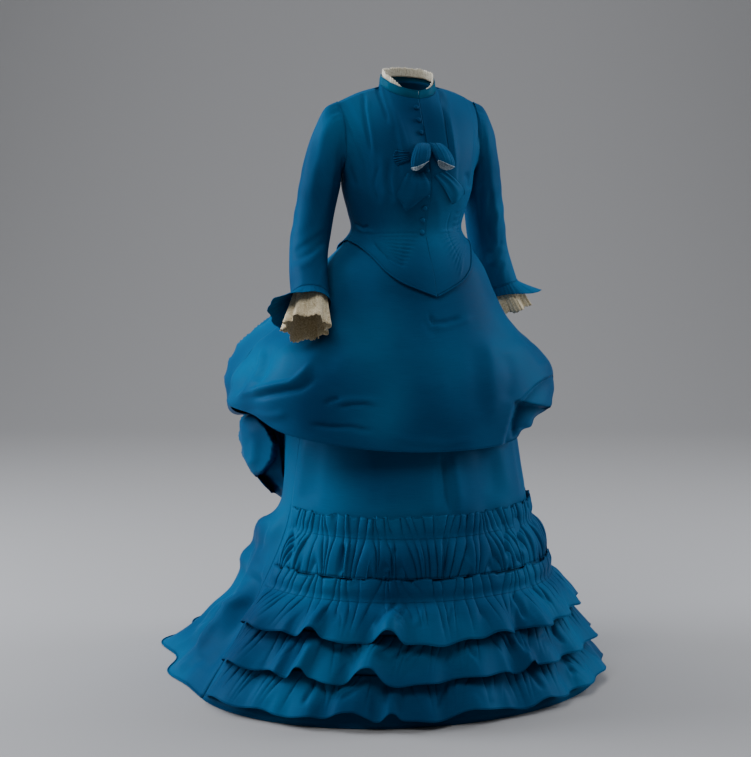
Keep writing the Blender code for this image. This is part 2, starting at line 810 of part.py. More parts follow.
def build_underskirt(silk):
    turns = [(k - PANEL_STEPS) * TURN_STEP for k in range(2 * PANEL_STEPS + 1)]
    front = [[underskirt_point(t, h) for t in turns] for h in UNDERSKIRT_HEIGHTS]
    front = trimmed(front, first=True, last=True, gap=2 * SEAM_GAP)
    wall("underskirt_front", front, silk)
    turns = [QUARTER + math.pi * k / TRAIN_STEPS for k in range(TRAIN_STEPS + 1)]
    turns = [t if t <= math.pi else t - 2 * math.pi for t in turns]
    train = [[underskirt_point(t, h) for t in turns] for h in UNDERSKIRT_HEIGHTS]
    wall("underskirt_train", trimmed(train, first=True, last=True, gap=2 * SEAM_GAP), silk)
    return Cloth(front)


# Flounces, gathered on the front of the underskirt
FLOUNCE_REACH = math.radians(88)
RuffleRow = namedtuple("RuffleRow", "height out swing merge")
GATHER_OUT = SEAM_GAP + THIN_CLOTH + 0.0012

FLOUNCE_DROOP = 0.0065

FLOUNCES = {
    "flounce_top": (
        27,
        4,
        (
            RuffleRow(0.416, 0.0150, 0.0050, 0.0),
            RuffleRow(0.372, GATHER_OUT, 0.0011, 0.0),
            RuffleRow(0.330, 0.0125, 0.0040, 0.0),
            RuffleRow(0.290, 0.0070, 0.0030, 0.0),
        ),
    ),
    "flounce_upper": (
        24,
        4,
        (
            RuffleRow(0.288, 0.0170, 0.0035, 0.0),
            RuffleRow(0.247, GATHER_OUT, 0.0011, 0.0),
            RuffleRow(0.205, 0.0250, 0.0060, 0.6),
            RuffleRow(0.163, 0.0380, 0.0130, 1.0),
        ),
    ),
    "flounce_middle": (
        24,
        3,
        (
            RuffleRow(0.178, GATHER_OUT, 0.0011, 0.0),
            RuffleRow(0.130, 0.0230, 0.0070, 0.8),
            RuffleRow(0.083, 0.0360, 0.0130, 1.0),
        ),
    ),
    "flounce_lower": (
        24,
        3,
        (
            RuffleRow(0.100, GATHER_OUT, 0.0011, 0.0),
            RuffleRow(0.056, 0.0180, 0.0060, 0.8),
            RuffleRow(0.012, 0.0280, 0.0120, 1.0),
        ),
    ),
}


def flounce_rows(skirt, waves, sides, levels):
    """A gathered strip laid on the skirt: fine gathers at its stitching run into wider waves."""
    steps = waves * sides
    rows = []
    for level in levels:
        row = []
        for k in range(steps + 1):
            turn = -FLOUNCE_REACH + 2 * FLOUNCE_REACH * k / steps
            column = (turn + QUARTER) / TURN_STEP
            fine = math.cos(2 * math.pi * k / sides)
            wide = math.cos(math.pi * k / sides + 0.9 * math.sin(3.1 * turn))
            wave = fine * (1 - level.merge) + wide * level.merge
            lift = math.cos(math.pi * k / sides + 2.0 + 1.7 * math.sin(2.3 * turn))
            height = level.height + FLOUNCE_DROOP * level.merge * lift
            row.append(skirt.point(column, height, level.out + level.swing * wave))
        rows.append(row)
    return rows


def build_flounces(skirt, silk):
    for name, (waves, sides, levels) in FLOUNCES.items():
        wall(name, flounce_rows(skirt, waves, sides, levels), silk, thickness=THIN_CLOTH)


# Overskirt. The apron reaches round to APRON_REACH, where the puffs behind take over.
APRON_REACH = math.radians(108)
APRON_STEPS = 20
APRON_TURNS = (-108, -90, -78, -50, -20, 0, 30, 48, 62, 78, 90, 108)
APRON_HEMS = (0.640, 0.624, 0.606, 0.580, 0.562, 0.558, 0.566, 0.590, 0.640, 0.672, 0.672, 0.660)
DRAPE_TOP = WAIST_HEIGHT - 0.004
DRAPE_HEIGHTS = (DRAPE_TOP, 0.985, 0.950, 0.915, 0.880, 0.845, 0.810, 0.785, 0.760, 0.730, 0.700)
HEM_SHARES = (0.5, 1.0)
WAIST_HUG = 0.0022
PUFF_STEPS = 16


def apron_rows():
    """The apron falls in level rows, then to its own curved hem."""
    turns = [APRON_REACH * (2 * k / APRON_STEPS - 1) for k in range(APRON_STEPS + 1)]
    rows = []
    for height in DRAPE_HEIGHTS:
        out = WAIST_HUG if height == DRAPE_TOP else 0.0
        rows.append([on_form(OVERSKIRT_FORM, t, height, out) for t in turns])
    for share in HEM_SHARES:
        row = []
        for t in turns:
            hem = smooth(APRON_TURNS, APRON_HEMS, math.degrees(t))
            last = DRAPE_HEIGHTS[-1]
            row.append(on_form(OVERSKIRT_FORM, t, last + (hem - last) * share))
        rows.append(row)
    return rows


# The upper puff follows the overskirt's form, then rolls under itself: scale shrinks it to (0, centre)
PuffRow = namedtuple("PuffRow", "height form scale centre swag tuck")
LAP_TUCK = 0.0060
UPPER_SWAGS = (0.0, 0.0, 0.0, 0.0, 0.1, 0.3, 0.6, 0.8, 1.0, 1.0, 0.9)
UPPER_TUCKS = (0.0015, 0.0041) + (LAP_TUCK,) * (len(UPPER_SWAGS) - 2)
UPPER_PUFF = tuple(
    PuffRow(height, height, 1.0, 0.0, swag, tuck)
    for height, swag, tuck in zip(DRAPE_HEIGHTS, UPPER_SWAGS, UPPER_TUCKS)
) + (
    PuffRow(0.648, 0.650, 0.99, 0.05, 0.7, LAP_TUCK),
    PuffRow(0.612, 0.620, 0.94, 0.10, 0.5, LAP_TUCK),
    PuffRow(0.594, 0.600, 0.86, 0.12, 0.3, LAP_TUCK),
)
# The lower puff hangs under it and is drawn in again at the flounces' top
LOWER_PUFF = (
    PuffRow(0.612, 0.600, 0.78, 0.04, 0.2, 0.0112),
    PuffRow(0.575, 0.600, 0.88, 0.04, 0.7, 0.0392),
    PuffRow(0.525, 0.600, 0.91, 0.04, 1.0, 0.0560),
    PuffRow(0.475, 0.600, 0.89, 0.04, 1.0, 0.0560),
    PuffRow(0.436, 0.600, 0.83, 0.04, 0.6, 0.0336),
    PuffRow(0.416, 0.600, 0.78, 0.03, 0.283, 0.0158),
)
LOWER_REACH = math.radians(102)
LAP_TURN = math.radians(1.5)
SWAGS = 3
SWAG_DEPTH = 0.036
SWAG_LIFT = 0.3


def puff_rows(table, reach):
    """Rows behind the wearer, drawn into swags by tapes down the back. Both side edges tuck in."""
    rows = []
    for level in table:
        row = []
        for k in range(PUFF_STEPS + 1):
            share = k / PUFF_STEPS
            turn = reach + (2 * math.pi - 2 * reach) * share
            drawn = abs(math.sin(SWAGS * math.pi * share)) - 0.5
            out = SWAG_DEPTH * level.swag * drawn * math.sin(math.pi * share) ** 0.5
            if k in (0, PUFF_STEPS):
                out -= level.tuck
            p = on_form(OVERSKIRT_FORM, turn, level.form, out)
            x = p.x * level.scale
            y = level.centre + (p.y - level.centre) * level.scale
            row.append(Vector((x, y, level.height - SWAG_LIFT * out)))
        rows.append(row)
    return rows


def build_overskirt(silk):
    wall("overskirt_apron", apron_rows(), silk)
    upper = puff_rows(UPPER_PUFF, APRON_REACH - LAP_TURN)
    wall("overskirt_puff_upper", upper, silk, inside=(0, 0.1, 0.75))
    lower = puff_rows(LOWER_PUFF, LOWER_REACH)
    wall("overskirt_puff_lower", lower, silk, inside=(0, 0.1, 0.52))


clear_scene()
DRESS = bpy.data.collections.new("bustle_dress")
bpy.context.scene.collection.children.link(DRESS)
WAIST = bpy.data.objects.new("waist_middle", None)
DRESS.objects.link(WAIST)
WAIST.location = (0, 0, -WAIST_HEIGHT)

blue_silk = make_material("blue_silk", SILK_BLUE, 0.42)
teal_silk = make_material("collar_silk", COLLAR_TEAL, 0.40)
pale_silk = make_material("pale_facing", PALE_SILK, 0.45)
cream_lace = make_material("cream_lace", CREAM_LACE, 0.80)
ivory_frill = make_material("ivory_frill", IVORY_FRILL, 0.75)

bodice_front, bodice_back = build_bodice(blue_silk)
build_piping(bodice_front, blue_silk)
build_collar(bodice_front, bodice_back, teal_silk, ivory_frill)
build_sleeve("left", bodice_front, bodice_back, blue_silk, cream_lace)
build_sleeve("right", bodice_front, bodice_back, blue_silk, cream_lace)
build_buttons(bodice_front, blue_silk)
build_bow(bodice_front, blue_silk, pale_silk)
underskirt = build_underskirt(blue_silk)
build_flounces(underskirt, blue_silk)
build_overskirt(blue_silk)
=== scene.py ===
"""A bustle dress of the early 1870s in peacock blue silk taffeta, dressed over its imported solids.

Lengths are metres unless a name says otherwise. Heights are measured up from the floor that the hem
touches, and each mesh drops by WAIST_HEIGHT when it is made, so that the origin is the waist's middle.
The front faces -Y and the wearer's left is +X. A turn of 0 is the centre front, positive to the left.
"""

import math

import bpy
import numpy as np
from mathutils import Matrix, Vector


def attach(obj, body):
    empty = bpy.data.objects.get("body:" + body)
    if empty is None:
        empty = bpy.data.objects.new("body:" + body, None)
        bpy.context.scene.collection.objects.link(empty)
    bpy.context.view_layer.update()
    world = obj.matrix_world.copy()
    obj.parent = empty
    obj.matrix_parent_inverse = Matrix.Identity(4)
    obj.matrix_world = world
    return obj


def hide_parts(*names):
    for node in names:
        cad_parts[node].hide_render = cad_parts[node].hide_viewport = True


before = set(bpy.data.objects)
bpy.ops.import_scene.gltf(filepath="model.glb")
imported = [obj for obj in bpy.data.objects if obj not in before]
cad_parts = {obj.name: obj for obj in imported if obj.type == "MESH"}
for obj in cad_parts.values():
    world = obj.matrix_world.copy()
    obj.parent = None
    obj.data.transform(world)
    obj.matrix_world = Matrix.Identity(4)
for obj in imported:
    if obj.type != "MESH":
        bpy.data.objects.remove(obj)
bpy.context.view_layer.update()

WAIST_HEIGHT = 1.020
BUST_HEIGHT = 1.120
QUARTER = math.pi / 2
SILK_THICKNESS = 0.0007
FINE_THICKNESS = 0.0005
FINE_GATHERED = {"held": "gathered", "thick": FINE_THICKNESS}
FINE_FOLDED = {"held": "folded", "thick": FINE_THICKNESS}

# The camera, fitted to the photograph: turned to the wearer's right, a little above the waist
PHOTO_WIDTH = 751
PHOTO_HEIGHT = 757
CAMERA_TURN = math.radians(-24)
CAMERA_DIP = math.radians(7.4)
CAMERA_DISTANCE = 4.5
CAMERA_HEIGHT = 1.27
FOCAL_PIXELS = 2010
SIDEWAYS_PIXELS = 30.5
SENSOR_MM = 36.0

SKYWARD = np.array((0.0, 0.0, 1.0))
FLAT_AHEAD = np.array((-math.sin(CAMERA_TURN), math.cos(CAMERA_TURN), 0.0))
RIGHTWARD = np.array((math.cos(CAMERA_TURN), math.sin(CAMERA_TURN), 0.0))
AHEAD = FLAT_AHEAD * math.cos(CAMERA_DIP) - SKYWARD * math.sin(CAMERA_DIP)
UPWARD = FLAT_AHEAD * math.sin(CAMERA_DIP) + SKYWARD * math.cos(CAMERA_DIP)
CAMERA_PLACE = (
    SKYWARD * CAMERA_HEIGHT
    - FLAT_AHEAD * CAMERA_DISTANCE
    - RIGHTWARD * SIDEWAYS_PIXELS / FOCAL_PIXELS * CAMERA_DISTANCE
)


def build_camera():
    data = bpy.data.cameras.new("camera")
    data.sensor_fit = "VERTICAL"
    data.sensor_height = SENSOR_MM
    data.lens = FOCAL_PIXELS / PHOTO_HEIGHT * SENSOR_MM
    camera = bpy.data.objects.new("camera", data)
    camera.location = CAMERA_PLACE - SKYWARD * WAIST_HEIGHT
    camera.rotation_euler = (QUARTER - CAMERA_DIP, 0, CAMERA_TURN)
    bpy.context.scene.collection.objects.link(camera)
    bpy.context.scene.camera = camera


build_camera()

# Shapes


def smooth_line(xs, ys, x):
    """A smooth curve through (xs, ys) with xs rising, held level past both ends."""
    xs = np.asarray(xs, float)
    ys = np.asarray(ys, float)
    slopes = np.gradient(ys, xs)
    x = np.clip(x, xs[0], xs[-1])
    k = np.clip(np.searchsorted(xs, x, side="right") - 1, 0, len(xs) - 2)
    width = xs[k + 1] - xs[k]
    t = (x - xs[k]) / width
    return (
        (1 + 2 * t) * (1 - t) ** 2 * ys[k]
        + t * (1 - t) ** 2 * width * slopes[k]
        + t * t * (3 - 2 * t) * ys[k + 1]
        + t * t * (t - 1) * width * slopes[k + 1]
    )


def ease(t):
    """0 to 1 with level ends."""
    t = np.clip(t, 0.0, 1.0)
    return t * t * (3 - 2 * t)


def wander(x, seed):
    """Smooth unevenness from -1 to 1, with one knot to a unit of x."""
    knots = np.random.RandomState(seed).uniform(-1, 1, 512)
    k = np.floor(x).astype(int)
    t = ease(x - k)
    return knots[k % 512] * (1 - t) + knots[(k + 1) % 512] * t


def drift(x, y, seed):
    """Smooth unevenness over two directions, from -1 to 1."""
    knots = np.random.RandomState(seed).uniform(-1, 1, (64, 64))
    i = np.floor(x).astype(int)
    j = np.floor(y).astype(int)
    s = ease(x - i)
    t = ease(y - j)
    low = knots[i % 64, j % 64] * (1 - s) + knots[(i + 1) % 64, j % 64] * s
    high = knots[i % 64, (j + 1) % 64] * (1 - s) + knots[(i + 1) % 64, (j + 1) % 64] * s
    return low * (1 - t) + high * t


def uneven(place, seed):
    """Places of evenly spaced gathers, crowded here and spread there."""
    return place + 0.30 * wander(place * 0.8, seed)


def gathers(place, seed, sharp=0.62):
    """Uneven gathers, one to a unit of place: 0 in each tight valley, up to 1 on each crest."""
    place = uneven(place, seed)
    crest = 0.55 + 0.45 * np.random.RandomState(seed + 1).uniform(size=512)[np.floor(place).astype(int) % 512]
    return crest * np.abs(np.sin(np.pi * place)) ** sharp


def resample(grid, count, axis, closed=False):
    """A grid of points drawn smoothly through its own knots, at count places along one axis."""
    g = np.moveaxis(np.asarray(grid, float), axis, 0)
    n = len(g)
    place = np.linspace(0, n if closed else n - 1, count, endpoint=not closed)
    k = np.floor(place).astype(int)
    if not closed:
        k = np.minimum(k, n - 2)
    t = (place - k).reshape((-1,) + (1,) * (g.ndim - 1))

    def knot(step):
        return g[(k + step) % n] if closed else g[np.clip(k + step, 0, n - 1)]

    a, b, c, d = knot(-1), knot(0), knot(1), knot(2)
    made = b + 0.5 * t * (c - a + t * (2 * a - 5 * b + 4 * c - d + t * (3 * (b - c) + d - a)))
    return np.moveaxis(made, 0, axis)


def unit(v):
    return v / np.maximum(np.linalg.norm(v, axis=-1, keepdims=True), 1e-12)


def faces_of(grid, closed=False, inside=None):
    """Outward normals of a grid of points. inside is a point, or else the Z axis is the inside."""
    if closed:
        across = np.roll(grid, -1, 1) - np.roll(grid, 1, 1)
    else:
        across = np.gradient(grid, axis=1)
    normals = unit(np.cross(across, np.gradient(grid, axis=0)))
    away = grid - (np.asarray(inside) if inside is not None else grid * SKYWARD)
    if (normals * away).sum() < 0:
        normals = -normals
    return normals


def in_photo(points):
    """The photograph's column and row, in pixels, where points show."""
    away = points - CAMERA_PLACE
    depth = away @ AHEAD
    return (
        PHOTO_WIDTH / 2 + FOCAL_PIXELS * (away @ RIGHTWARD) / depth,
        PHOTO_HEIGHT / 2 - FOCAL_PIXELS * (away @ UPWARD) / depth,
    )


def near_line(x, y, line):
    """Signed distance in pixels to a line of pixels, and how far along it, from 0 to 1."""
    line = np.asarray(line, float)
    lengths = np.linalg.norm(np.diff(line, axis=0), axis=1)
    total = lengths.sum()
    best = np.full(x.shape, 1e9)
    along = np.zeros(x.shape)
    side = np.ones(x.shape)
    done = 0.0
    for a, b, length in zip(line, line[1:], lengths):
        ux, uy = (b - a) / length
        dx = x - a[0]
        dy = y - a[1]
        t = np.clip(dx * ux + dy * uy, 0, length)
        away = np.hypot(dx - t * ux, dy - t * uy)
        nearer = away < best
        best = np.where(nearer, away, best)
        along = np.where(nearer, (done + t) / total, along)
        side = np.where(nearer, np.sign(dx * uy - dy * ux), side)
        done += length
    return best * side, along


def creased(grid, normals, creases):
    """How far each point moves out for folds that are placed by the photograph's pixels.

    Each fold is (pixels, width in pixels, height in mm, tip): a tip over 0 makes its right-hand side
    fall away sharply, as where cloth turns over itself.
    """
    x, y = in_photo(grid)
    facing = ease((normals * unit(CAMERA_PLACE - grid)).sum(-1) / 0.3)
    out = np.zeros(x.shape)
    for line, width, height_mm, tip in creases:
        distance, along = near_line(x, y, line)
        reach = width * np.where(distance > 0, 1 - 0.6 * tip, 1 + 0.8 * tip)
        taper = ease(along / 0.22) * ease((1 - along) / 0.22)
        past = np.abs(distance) / reach
        ends = (along > 0.001) & (along < 0.999)
        out += height_mm * 0.001 * np.exp(-(past**2)) * taper * ends
    return out * facing


def bulges(grid, normals, spots):
    """How far points move out for swells on the outline too: each is (pixel x, pixel y, spread, mm)."""
    x, y = in_photo(grid)
    near = ease(((normals * unit(CAMERA_PLACE - grid)).sum(-1) + 0.55) / 0.4)
    out = np.zeros(x.shape)
    for column, row, spread, out_mm in spots:
        out += out_mm * 0.001 * np.exp(-((x - column) ** 2 + (y - row) ** 2) / spread**2)
    return out * near


def pulled(grid, pulls):
    """Moves in the picture's own plane: each is (pixel x, pixel y, spread, pixels right, pixels down)."""
    x, y = in_photo(grid)
    pixel = CAMERA_DISTANCE / FOCAL_PIXELS
    move = np.zeros(grid.shape)
    for column, row, spread, right, down in pulls:
        near = np.exp(-((x - column) ** 2 + (y - row) ** 2) / spread**2)
        move += near[..., None] * (RIGHTWARD * right - UPWARD * down) * pixel
    return move


def turned_back(grid, normals, edges):
    """Moves for cloth that goes back behind an edge: each is (pixels, fall in pixels, depth in mm).

    The cloth lies to the right of the edge's own direction. A fall of 0 keeps it deep all the way.
    """
    x, y = in_photo(grid)
    facing = ease((normals * unit(CAMERA_PLACE - grid)).sum(-1) / 0.2 + 0.6)
    back = np.zeros(x.shape)
    for line, fall, depth_mm in edges:
        distance, along = near_line(x, y, line)
        deep = ease(distance / 1.6) * ease(along / 0.1) * ease((1 - along) / 0.1)
        if fall:
            deep = deep * np.exp(-np.maximum(distance, 0) / fall)
        back += depth_mm * 0.001 * deep
    return (back * facing)[..., None] * AHEAD


def arcs(grid, axis):
    """Distance along a grid's rows or columns."""
    g = np.moveaxis(grid, axis, 0)
    steps = np.linalg.norm(np.diff(g, axis=0), axis=-1)
    run = np.concatenate([np.zeros((1,) + steps.shape[1:]), np.cumsum(steps, axis=0)])
    return np.moveaxis(run, 0, axis)


def link(obj, material, slot, nodes=()):
    """Puts a piece in the scene on the dress's one body, in place of its CAD nodes."""
    bpy.context.scene.collection.objects.link(obj)
    obj.data.materials.append(material)
    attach(obj, "root")
    if nodes:
        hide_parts(*nodes)
    return obj


def mesh_of(name, points, faces, uv=None):
    mesh = bpy.data.meshes.new(name)
    mesh.from_pydata((points - SKYWARD * WAIST_HEIGHT).tolist(), [], faces)
    if uv is not None:
        layer = mesh.uv_layers.new(name="cut")
        corners = np.array([corner for face in faces for corner in face])
        layer.data.foreach_set("uv", uv[corners].ravel())
    mesh.polygons.foreach_set("use_smooth", [True] * len(faces))
    mesh.update()
    return mesh


def cloth(
    name, grid, finish, nodes=(), closed=False, inside=None, held="draped", thick=SILK_THICKNESS, on=()
):
    """A thin shell of cloth over a grid of points, with a UV map called cut, in metres."""
    rows, columns = grid.shape[:2]
    wrap = np.concatenate([grid, grid[:, :1]], axis=1) if closed else grid
    last = columns + 1 if closed else columns
    across = arcs(wrap, 1)
    across = across - across[:, -1:] / 2
    down = arcs(wrap, 0)
    uv = np.stack([across, -down], -1)
    order = np.arange(rows * last).reshape(rows, last)
    material, slot = finish
    normals = faces_of(grid, closed, inside)
    sample = np.cross(grid[1:, 1:] - grid[:-1, 1:], grid[1:, 1:] - grid[1:, :-1])
    forward = (sample * normals[1:, 1:]).sum() > 0
    index = np.arange(rows * columns).reshape(rows, columns)
    if closed:
        index = np.concatenate([index, index[:, :1]], axis=1)
    quads = np.stack([index[:-1, :-1], index[:-1, 1:], index[1:, 1:], index[1:, :-1]], -1).reshape(-1, 4)
    places = np.stack([order[:-1, :-1], order[:-1, 1:], order[1:, 1:], order[1:, :-1]], -1).reshape(-1, 4)
    if forward:
        quads = quads[:, ::-1]
        places = places[:, ::-1]
    mesh = bpy.data.meshes.new(name)
    mesh.from_pydata((grid.reshape(-1, 3) - SKYWARD * WAIST_HEIGHT).tolist(), [], quads.tolist())
    layer = mesh.uv_layers.new(name="cut")
    layer.data.foreach_set("uv", uv.reshape(-1, 2)[places.ravel()].ravel())
    mesh.polygons.foreach_set("use_smooth", np.ones(len(quads), bool))
    mesh.update()
    obj = bpy.data.objects.new(name, mesh)
    shell = obj.modifiers.new("thickness", "SOLIDIFY")
    shell.thickness = thick
    shell.offset = -1.0
    link(obj, material, slot, nodes)
    return obj


def roll(name, line, radius, finish, nodes=(), sides=8, closed=False):
    """A fine round roll or cord along a line of points."""
    line = np.asarray(line, float)
    if closed:
        ahead = unit(np.roll(line, -1, 0) - np.roll(line, 1, 0))
    else:
        ahead = unit(np.gradient(line, axis=0))
    side = unit(np.cross(ahead, SKYWARD + 1e-3))
    up = np.cross(side, ahead)
    angles = 2 * math.pi * np.arange(sides) / sides
    rings = line[:, None] + radius * (
        np.cos(angles)[None, :, None] * side[:, None] + np.sin(angles)[None, :, None] * up[:, None]
    )
    count = len(line)
    faces = []
    for r in range(count if closed else count - 1):
        s = (r + 1) % count
        for k in range(sides):
            m = (k + 1) % sides
            faces.append((r * sides + k, r * sides + m, s * sides + m, s * sides + k))
    if not closed:
        faces.append(tuple(range(sides))[::-1])
        faces.append(tuple((count - 1) * sides + k for k in range(sides)))
    points = rings.reshape(-1, 3)
    run = np.repeat(arcs(line[:, None], 0)[:, 0], sides)
    around = np.tile(np.arange(sides) * 2 * math.pi * radius / sides, count)
    obj = bpy.data.objects.new(name, mesh_of(name, points, faces, np.stack([around, run], -1)))
    return link(obj, *finish, nodes)


# Finishes


def linear(hex_colour):
    """An sRGB hex value as linear RGBA."""
    parts = [int(hex_colour[k : k + 2], 16) / 255 for k in (0, 2, 4)]
    return tuple(p / 12.92 if p <= 0.04045 else ((p + 0.055) / 1.055) ** 2.4 for p in parts) + (1.0,)


def add(tree, kind, settings=None, links=None):
    """Adds a node, sets its properties and sockets by name, and links sockets by name."""
    made = tree.nodes.new(kind)
    for key, value in (settings or {}).items():
        if hasattr(made, key):
            setattr(made, key, value)
        else:
            made.inputs[key].default_value = value
    for key, source in (links or {}).items():
        tree.links.new(source, made.inputs[key])
    return made


def ramp(tree, source, stops):
    made = add(tree, "ShaderNodeValToRGB", links={"Fac": source})
    colours = made.color_ramp.elements
    while len(colours) < len(stops):
        colours.new(0.5)
    for element, (place, colour) in zip(colours, stops):
        element.position = place
        element.color = linear(colour)
    return made.outputs["Color"]


def woven_taffeta(name, deep, mid, light, gleam):
    """Crisp plain-woven silk, dyed in the yarn, so that its gleam keeps the dye's colour.

    The eye sees a dark, even blue that blooms to teal where the cloth turns, with a faint cross rib and
    slubs along the weft. Threads are about 0.15 mm apart, too fine to show, so the rib is drawn at 0.9 mm.
    """
    material = bpy.data.materials.new(name)
    material.use_nodes = True
    tree = material.node_tree
    shader = tree.nodes["Principled BSDF"]
    cut = add(tree, "ShaderNodeUVMap", {"uv_map": "cut"}).outputs["UV"]
    body = add(tree, "ShaderNodeTexCoord").outputs["Object"]
    broad = add(tree, "ShaderNodeTexNoise", {"Scale": 5.5, "Detail": 1.0, "Roughness": 0.4}, {"Vector": body})
    along = add(tree, "ShaderNodeMapping", {"Scale": (26.0, 900.0, 1.0)}, {"Vector": cut})
    slub = add(tree, "ShaderNodeTexNoise", {"Scale": 1.0, "Detail": 2.0}, {"Vector": along.outputs["Vector"]})
    tones = {0: slub.outputs["Fac"], 2: broad.outputs["Fac"]}
    tone = add(tree, "ShaderNodeMath", {"operation": "MULTIPLY_ADD"}, tones)
    tone.inputs[1].default_value = 0.25
    colour = ramp(tree, tone.outputs[0], ((0.36, deep), (0.62, mid), (0.94, light)))
    tree.links.new(colour, shader.inputs["Base Color"])
    rib = add(
        tree,
        "ShaderNodeTexWave",
        {"wave_type": "BANDS", "bands_direction": "Y", "Scale": 350.0, "Distortion": 1.2, "Detail": 1.0},
        {"Vector": cut},
    )
    crumpling = {"Scale": 30.0, "Detail": 3.0, "Roughness": 0.5}
    crumple = add(tree, "ShaderNodeTexNoise", crumpling, {"Vector": body})
    fine = add(tree, "ShaderNodeBump", {"Strength": 0.16, "Distance": 0.0002}, {"Height": rib.outputs["Fac"]})
    soft = add(
        tree,
        "ShaderNodeBump",
        {"Strength": 0.14, "Distance": 0.0030},
        {"Height": crumple.outputs["Fac"], "Normal": fine.outputs["Normal"]},
    )
    tree.links.new(soft.outputs["Normal"], shader.inputs["Normal"])
    gloss = add(
        tree,
        "ShaderNodeMapRange",
        {"From Min": 0.3, "From Max": 0.7, "To Min": 0.46, "To Max": 0.58},
        {"Value": slub.outputs["Fac"]},
    )
    tree.links.new(gloss.outputs["Result"], shader.inputs["Roughness"])
    shader.inputs["Specular IOR Level"].default_value = 0.06
    shader.inputs["Specular Tint"].default_value = linear(gleam)
    shader.inputs["Sheen Weight"].default_value = 0.06
    shader.inputs["Sheen Roughness"].default_value = 0.32
    shader.inputs["Sheen Tint"].default_value = linear(gleam)
    return material


def pleated_net(name, dark, mid, light):
    """Cream cotton net with a fine knotted ground, matte, whose holes carry painted shade in their tone.

    The real holes are about 1 mm, so they are not cut: their darker tone is painted shade seen through them.
    """
    material = bpy.data.materials.new(name)
    material.use_nodes = True
    tree = material.node_tree
    shader = tree.nodes["Principled BSDF"]
    cut = add(tree, "ShaderNodeUVMap", {"uv_map": "cut"}).outputs["UV"]
    holes = add(tree, "ShaderNodeTexVoronoi", {"Scale": 620.0, "feature": "F1"}, {"Vector": cut})
    sprigs = {"Scale": 210.0, "Detail": 2.0, "Distortion": 1.0}
    sprig = add(tree, "ShaderNodeTexNoise", sprigs, {"Vector": cut})
    both = {0: holes.outputs["Distance"], 1: sprig.outputs["Fac"]}
    mixed = add(tree, "ShaderNodeMath", {"operation": "ADD"}, both)
    half = add(tree, "ShaderNodeMath", {"operation": "MULTIPLY"}, {0: mixed.outputs[0]})
    half.inputs[1].default_value = 0.5
    # The ramp's deepest stop is partly the sprigs' own pattern and partly painted shade in the net's holes
    colour = ramp(tree, half.outputs[0], ((0.30, light), (0.48, mid), (0.66, dark)))
    tree.links.new(colour, shader.inputs["Base Color"])
    bump = add(tree, "ShaderNodeBump", {"Strength": 0.5, "Distance": 0.0005}, {"Height": half.outputs[0]})
    tree.links.new(bump.outputs["Normal"], shader.inputs["Normal"])
    shader.inputs["Roughness"].default_value = 0.85
    shader.inputs["Sheen Weight"].default_value = 0.2
    return material


def figured_silk(name, ground, figure_and_sheen):
    """Pale silk with a small woven leaf pattern: the leaves are paler than the ground, partly their own
    colour and partly painted sheen for their satin floats.
    """
    material = bpy.data.materials.new(name)
    material.use_nodes = True
    tree = material.node_tree
    shader = tree.nodes["Principled BSDF"]
    cut = add(tree, "ShaderNodeUVMap", {"uv_map": "cut"}).outputs["UV"]
    leaves = {"Scale": 240.0, "Detail": 1.0, "Distortion": 2.4}
    leaf = add(tree, "ShaderNodeTexNoise", leaves, {"Vector": cut})
    # The leaves' paler tone is partly their own woven colour and partly painted sheen of their satin floats
    colour = ramp(tree, leaf.outputs["Fac"], ((0.44, ground), (0.50, figure_and_sheen), (0.60, figure_and_sheen)))
    tree.links.new(colour, shader.inputs["Base Color"])
    bump = add(tree, "ShaderNodeBump", {"Strength": 0.4, "Distance": 0.0004}, {"Height": leaf.outputs["Fac"]})
    tree.links.new(bump.outputs["Normal"], shader.inputs["Normal"])
    shader.inputs["Roughness"].default_value = 0.42
    return material


def studio_floor():
    """Matte painted studio floor."""
    material = bpy.data.materials.new("matte_floor_paint")
    material.use_nodes = True
    shader = material.node_tree.nodes["Principled BSDF"]
    shader.inputs["Base Color"].default_value = linear("a2a2a4")
    shader.inputs["Roughness"].default_value = 0.9
    return material


BLUE = (woven_taffeta("woven_silk_taffeta_peacock", "03385e", "034a74", "065f8a", "1f86b0"), "blue_silk")
TEAL = (woven_taffeta("woven_silk_taffeta_teal", "094560", "0d5674", "14687f", "2f93ab"), "collar_silk")
PALE = (figured_silk("figured_pale_silk", "6f8ea0", "d4e2ea"), "pale_facing")
LACE = (pleated_net("pleated_cotton_net", "b09c76", "d8c9a4", "efe4c8"), "cream_lace")
IVORY = (pleated_net("pleated_ivory_crepe", "d2c8b0", "ebe4d0", "faf5e8"), "ivory_frill")

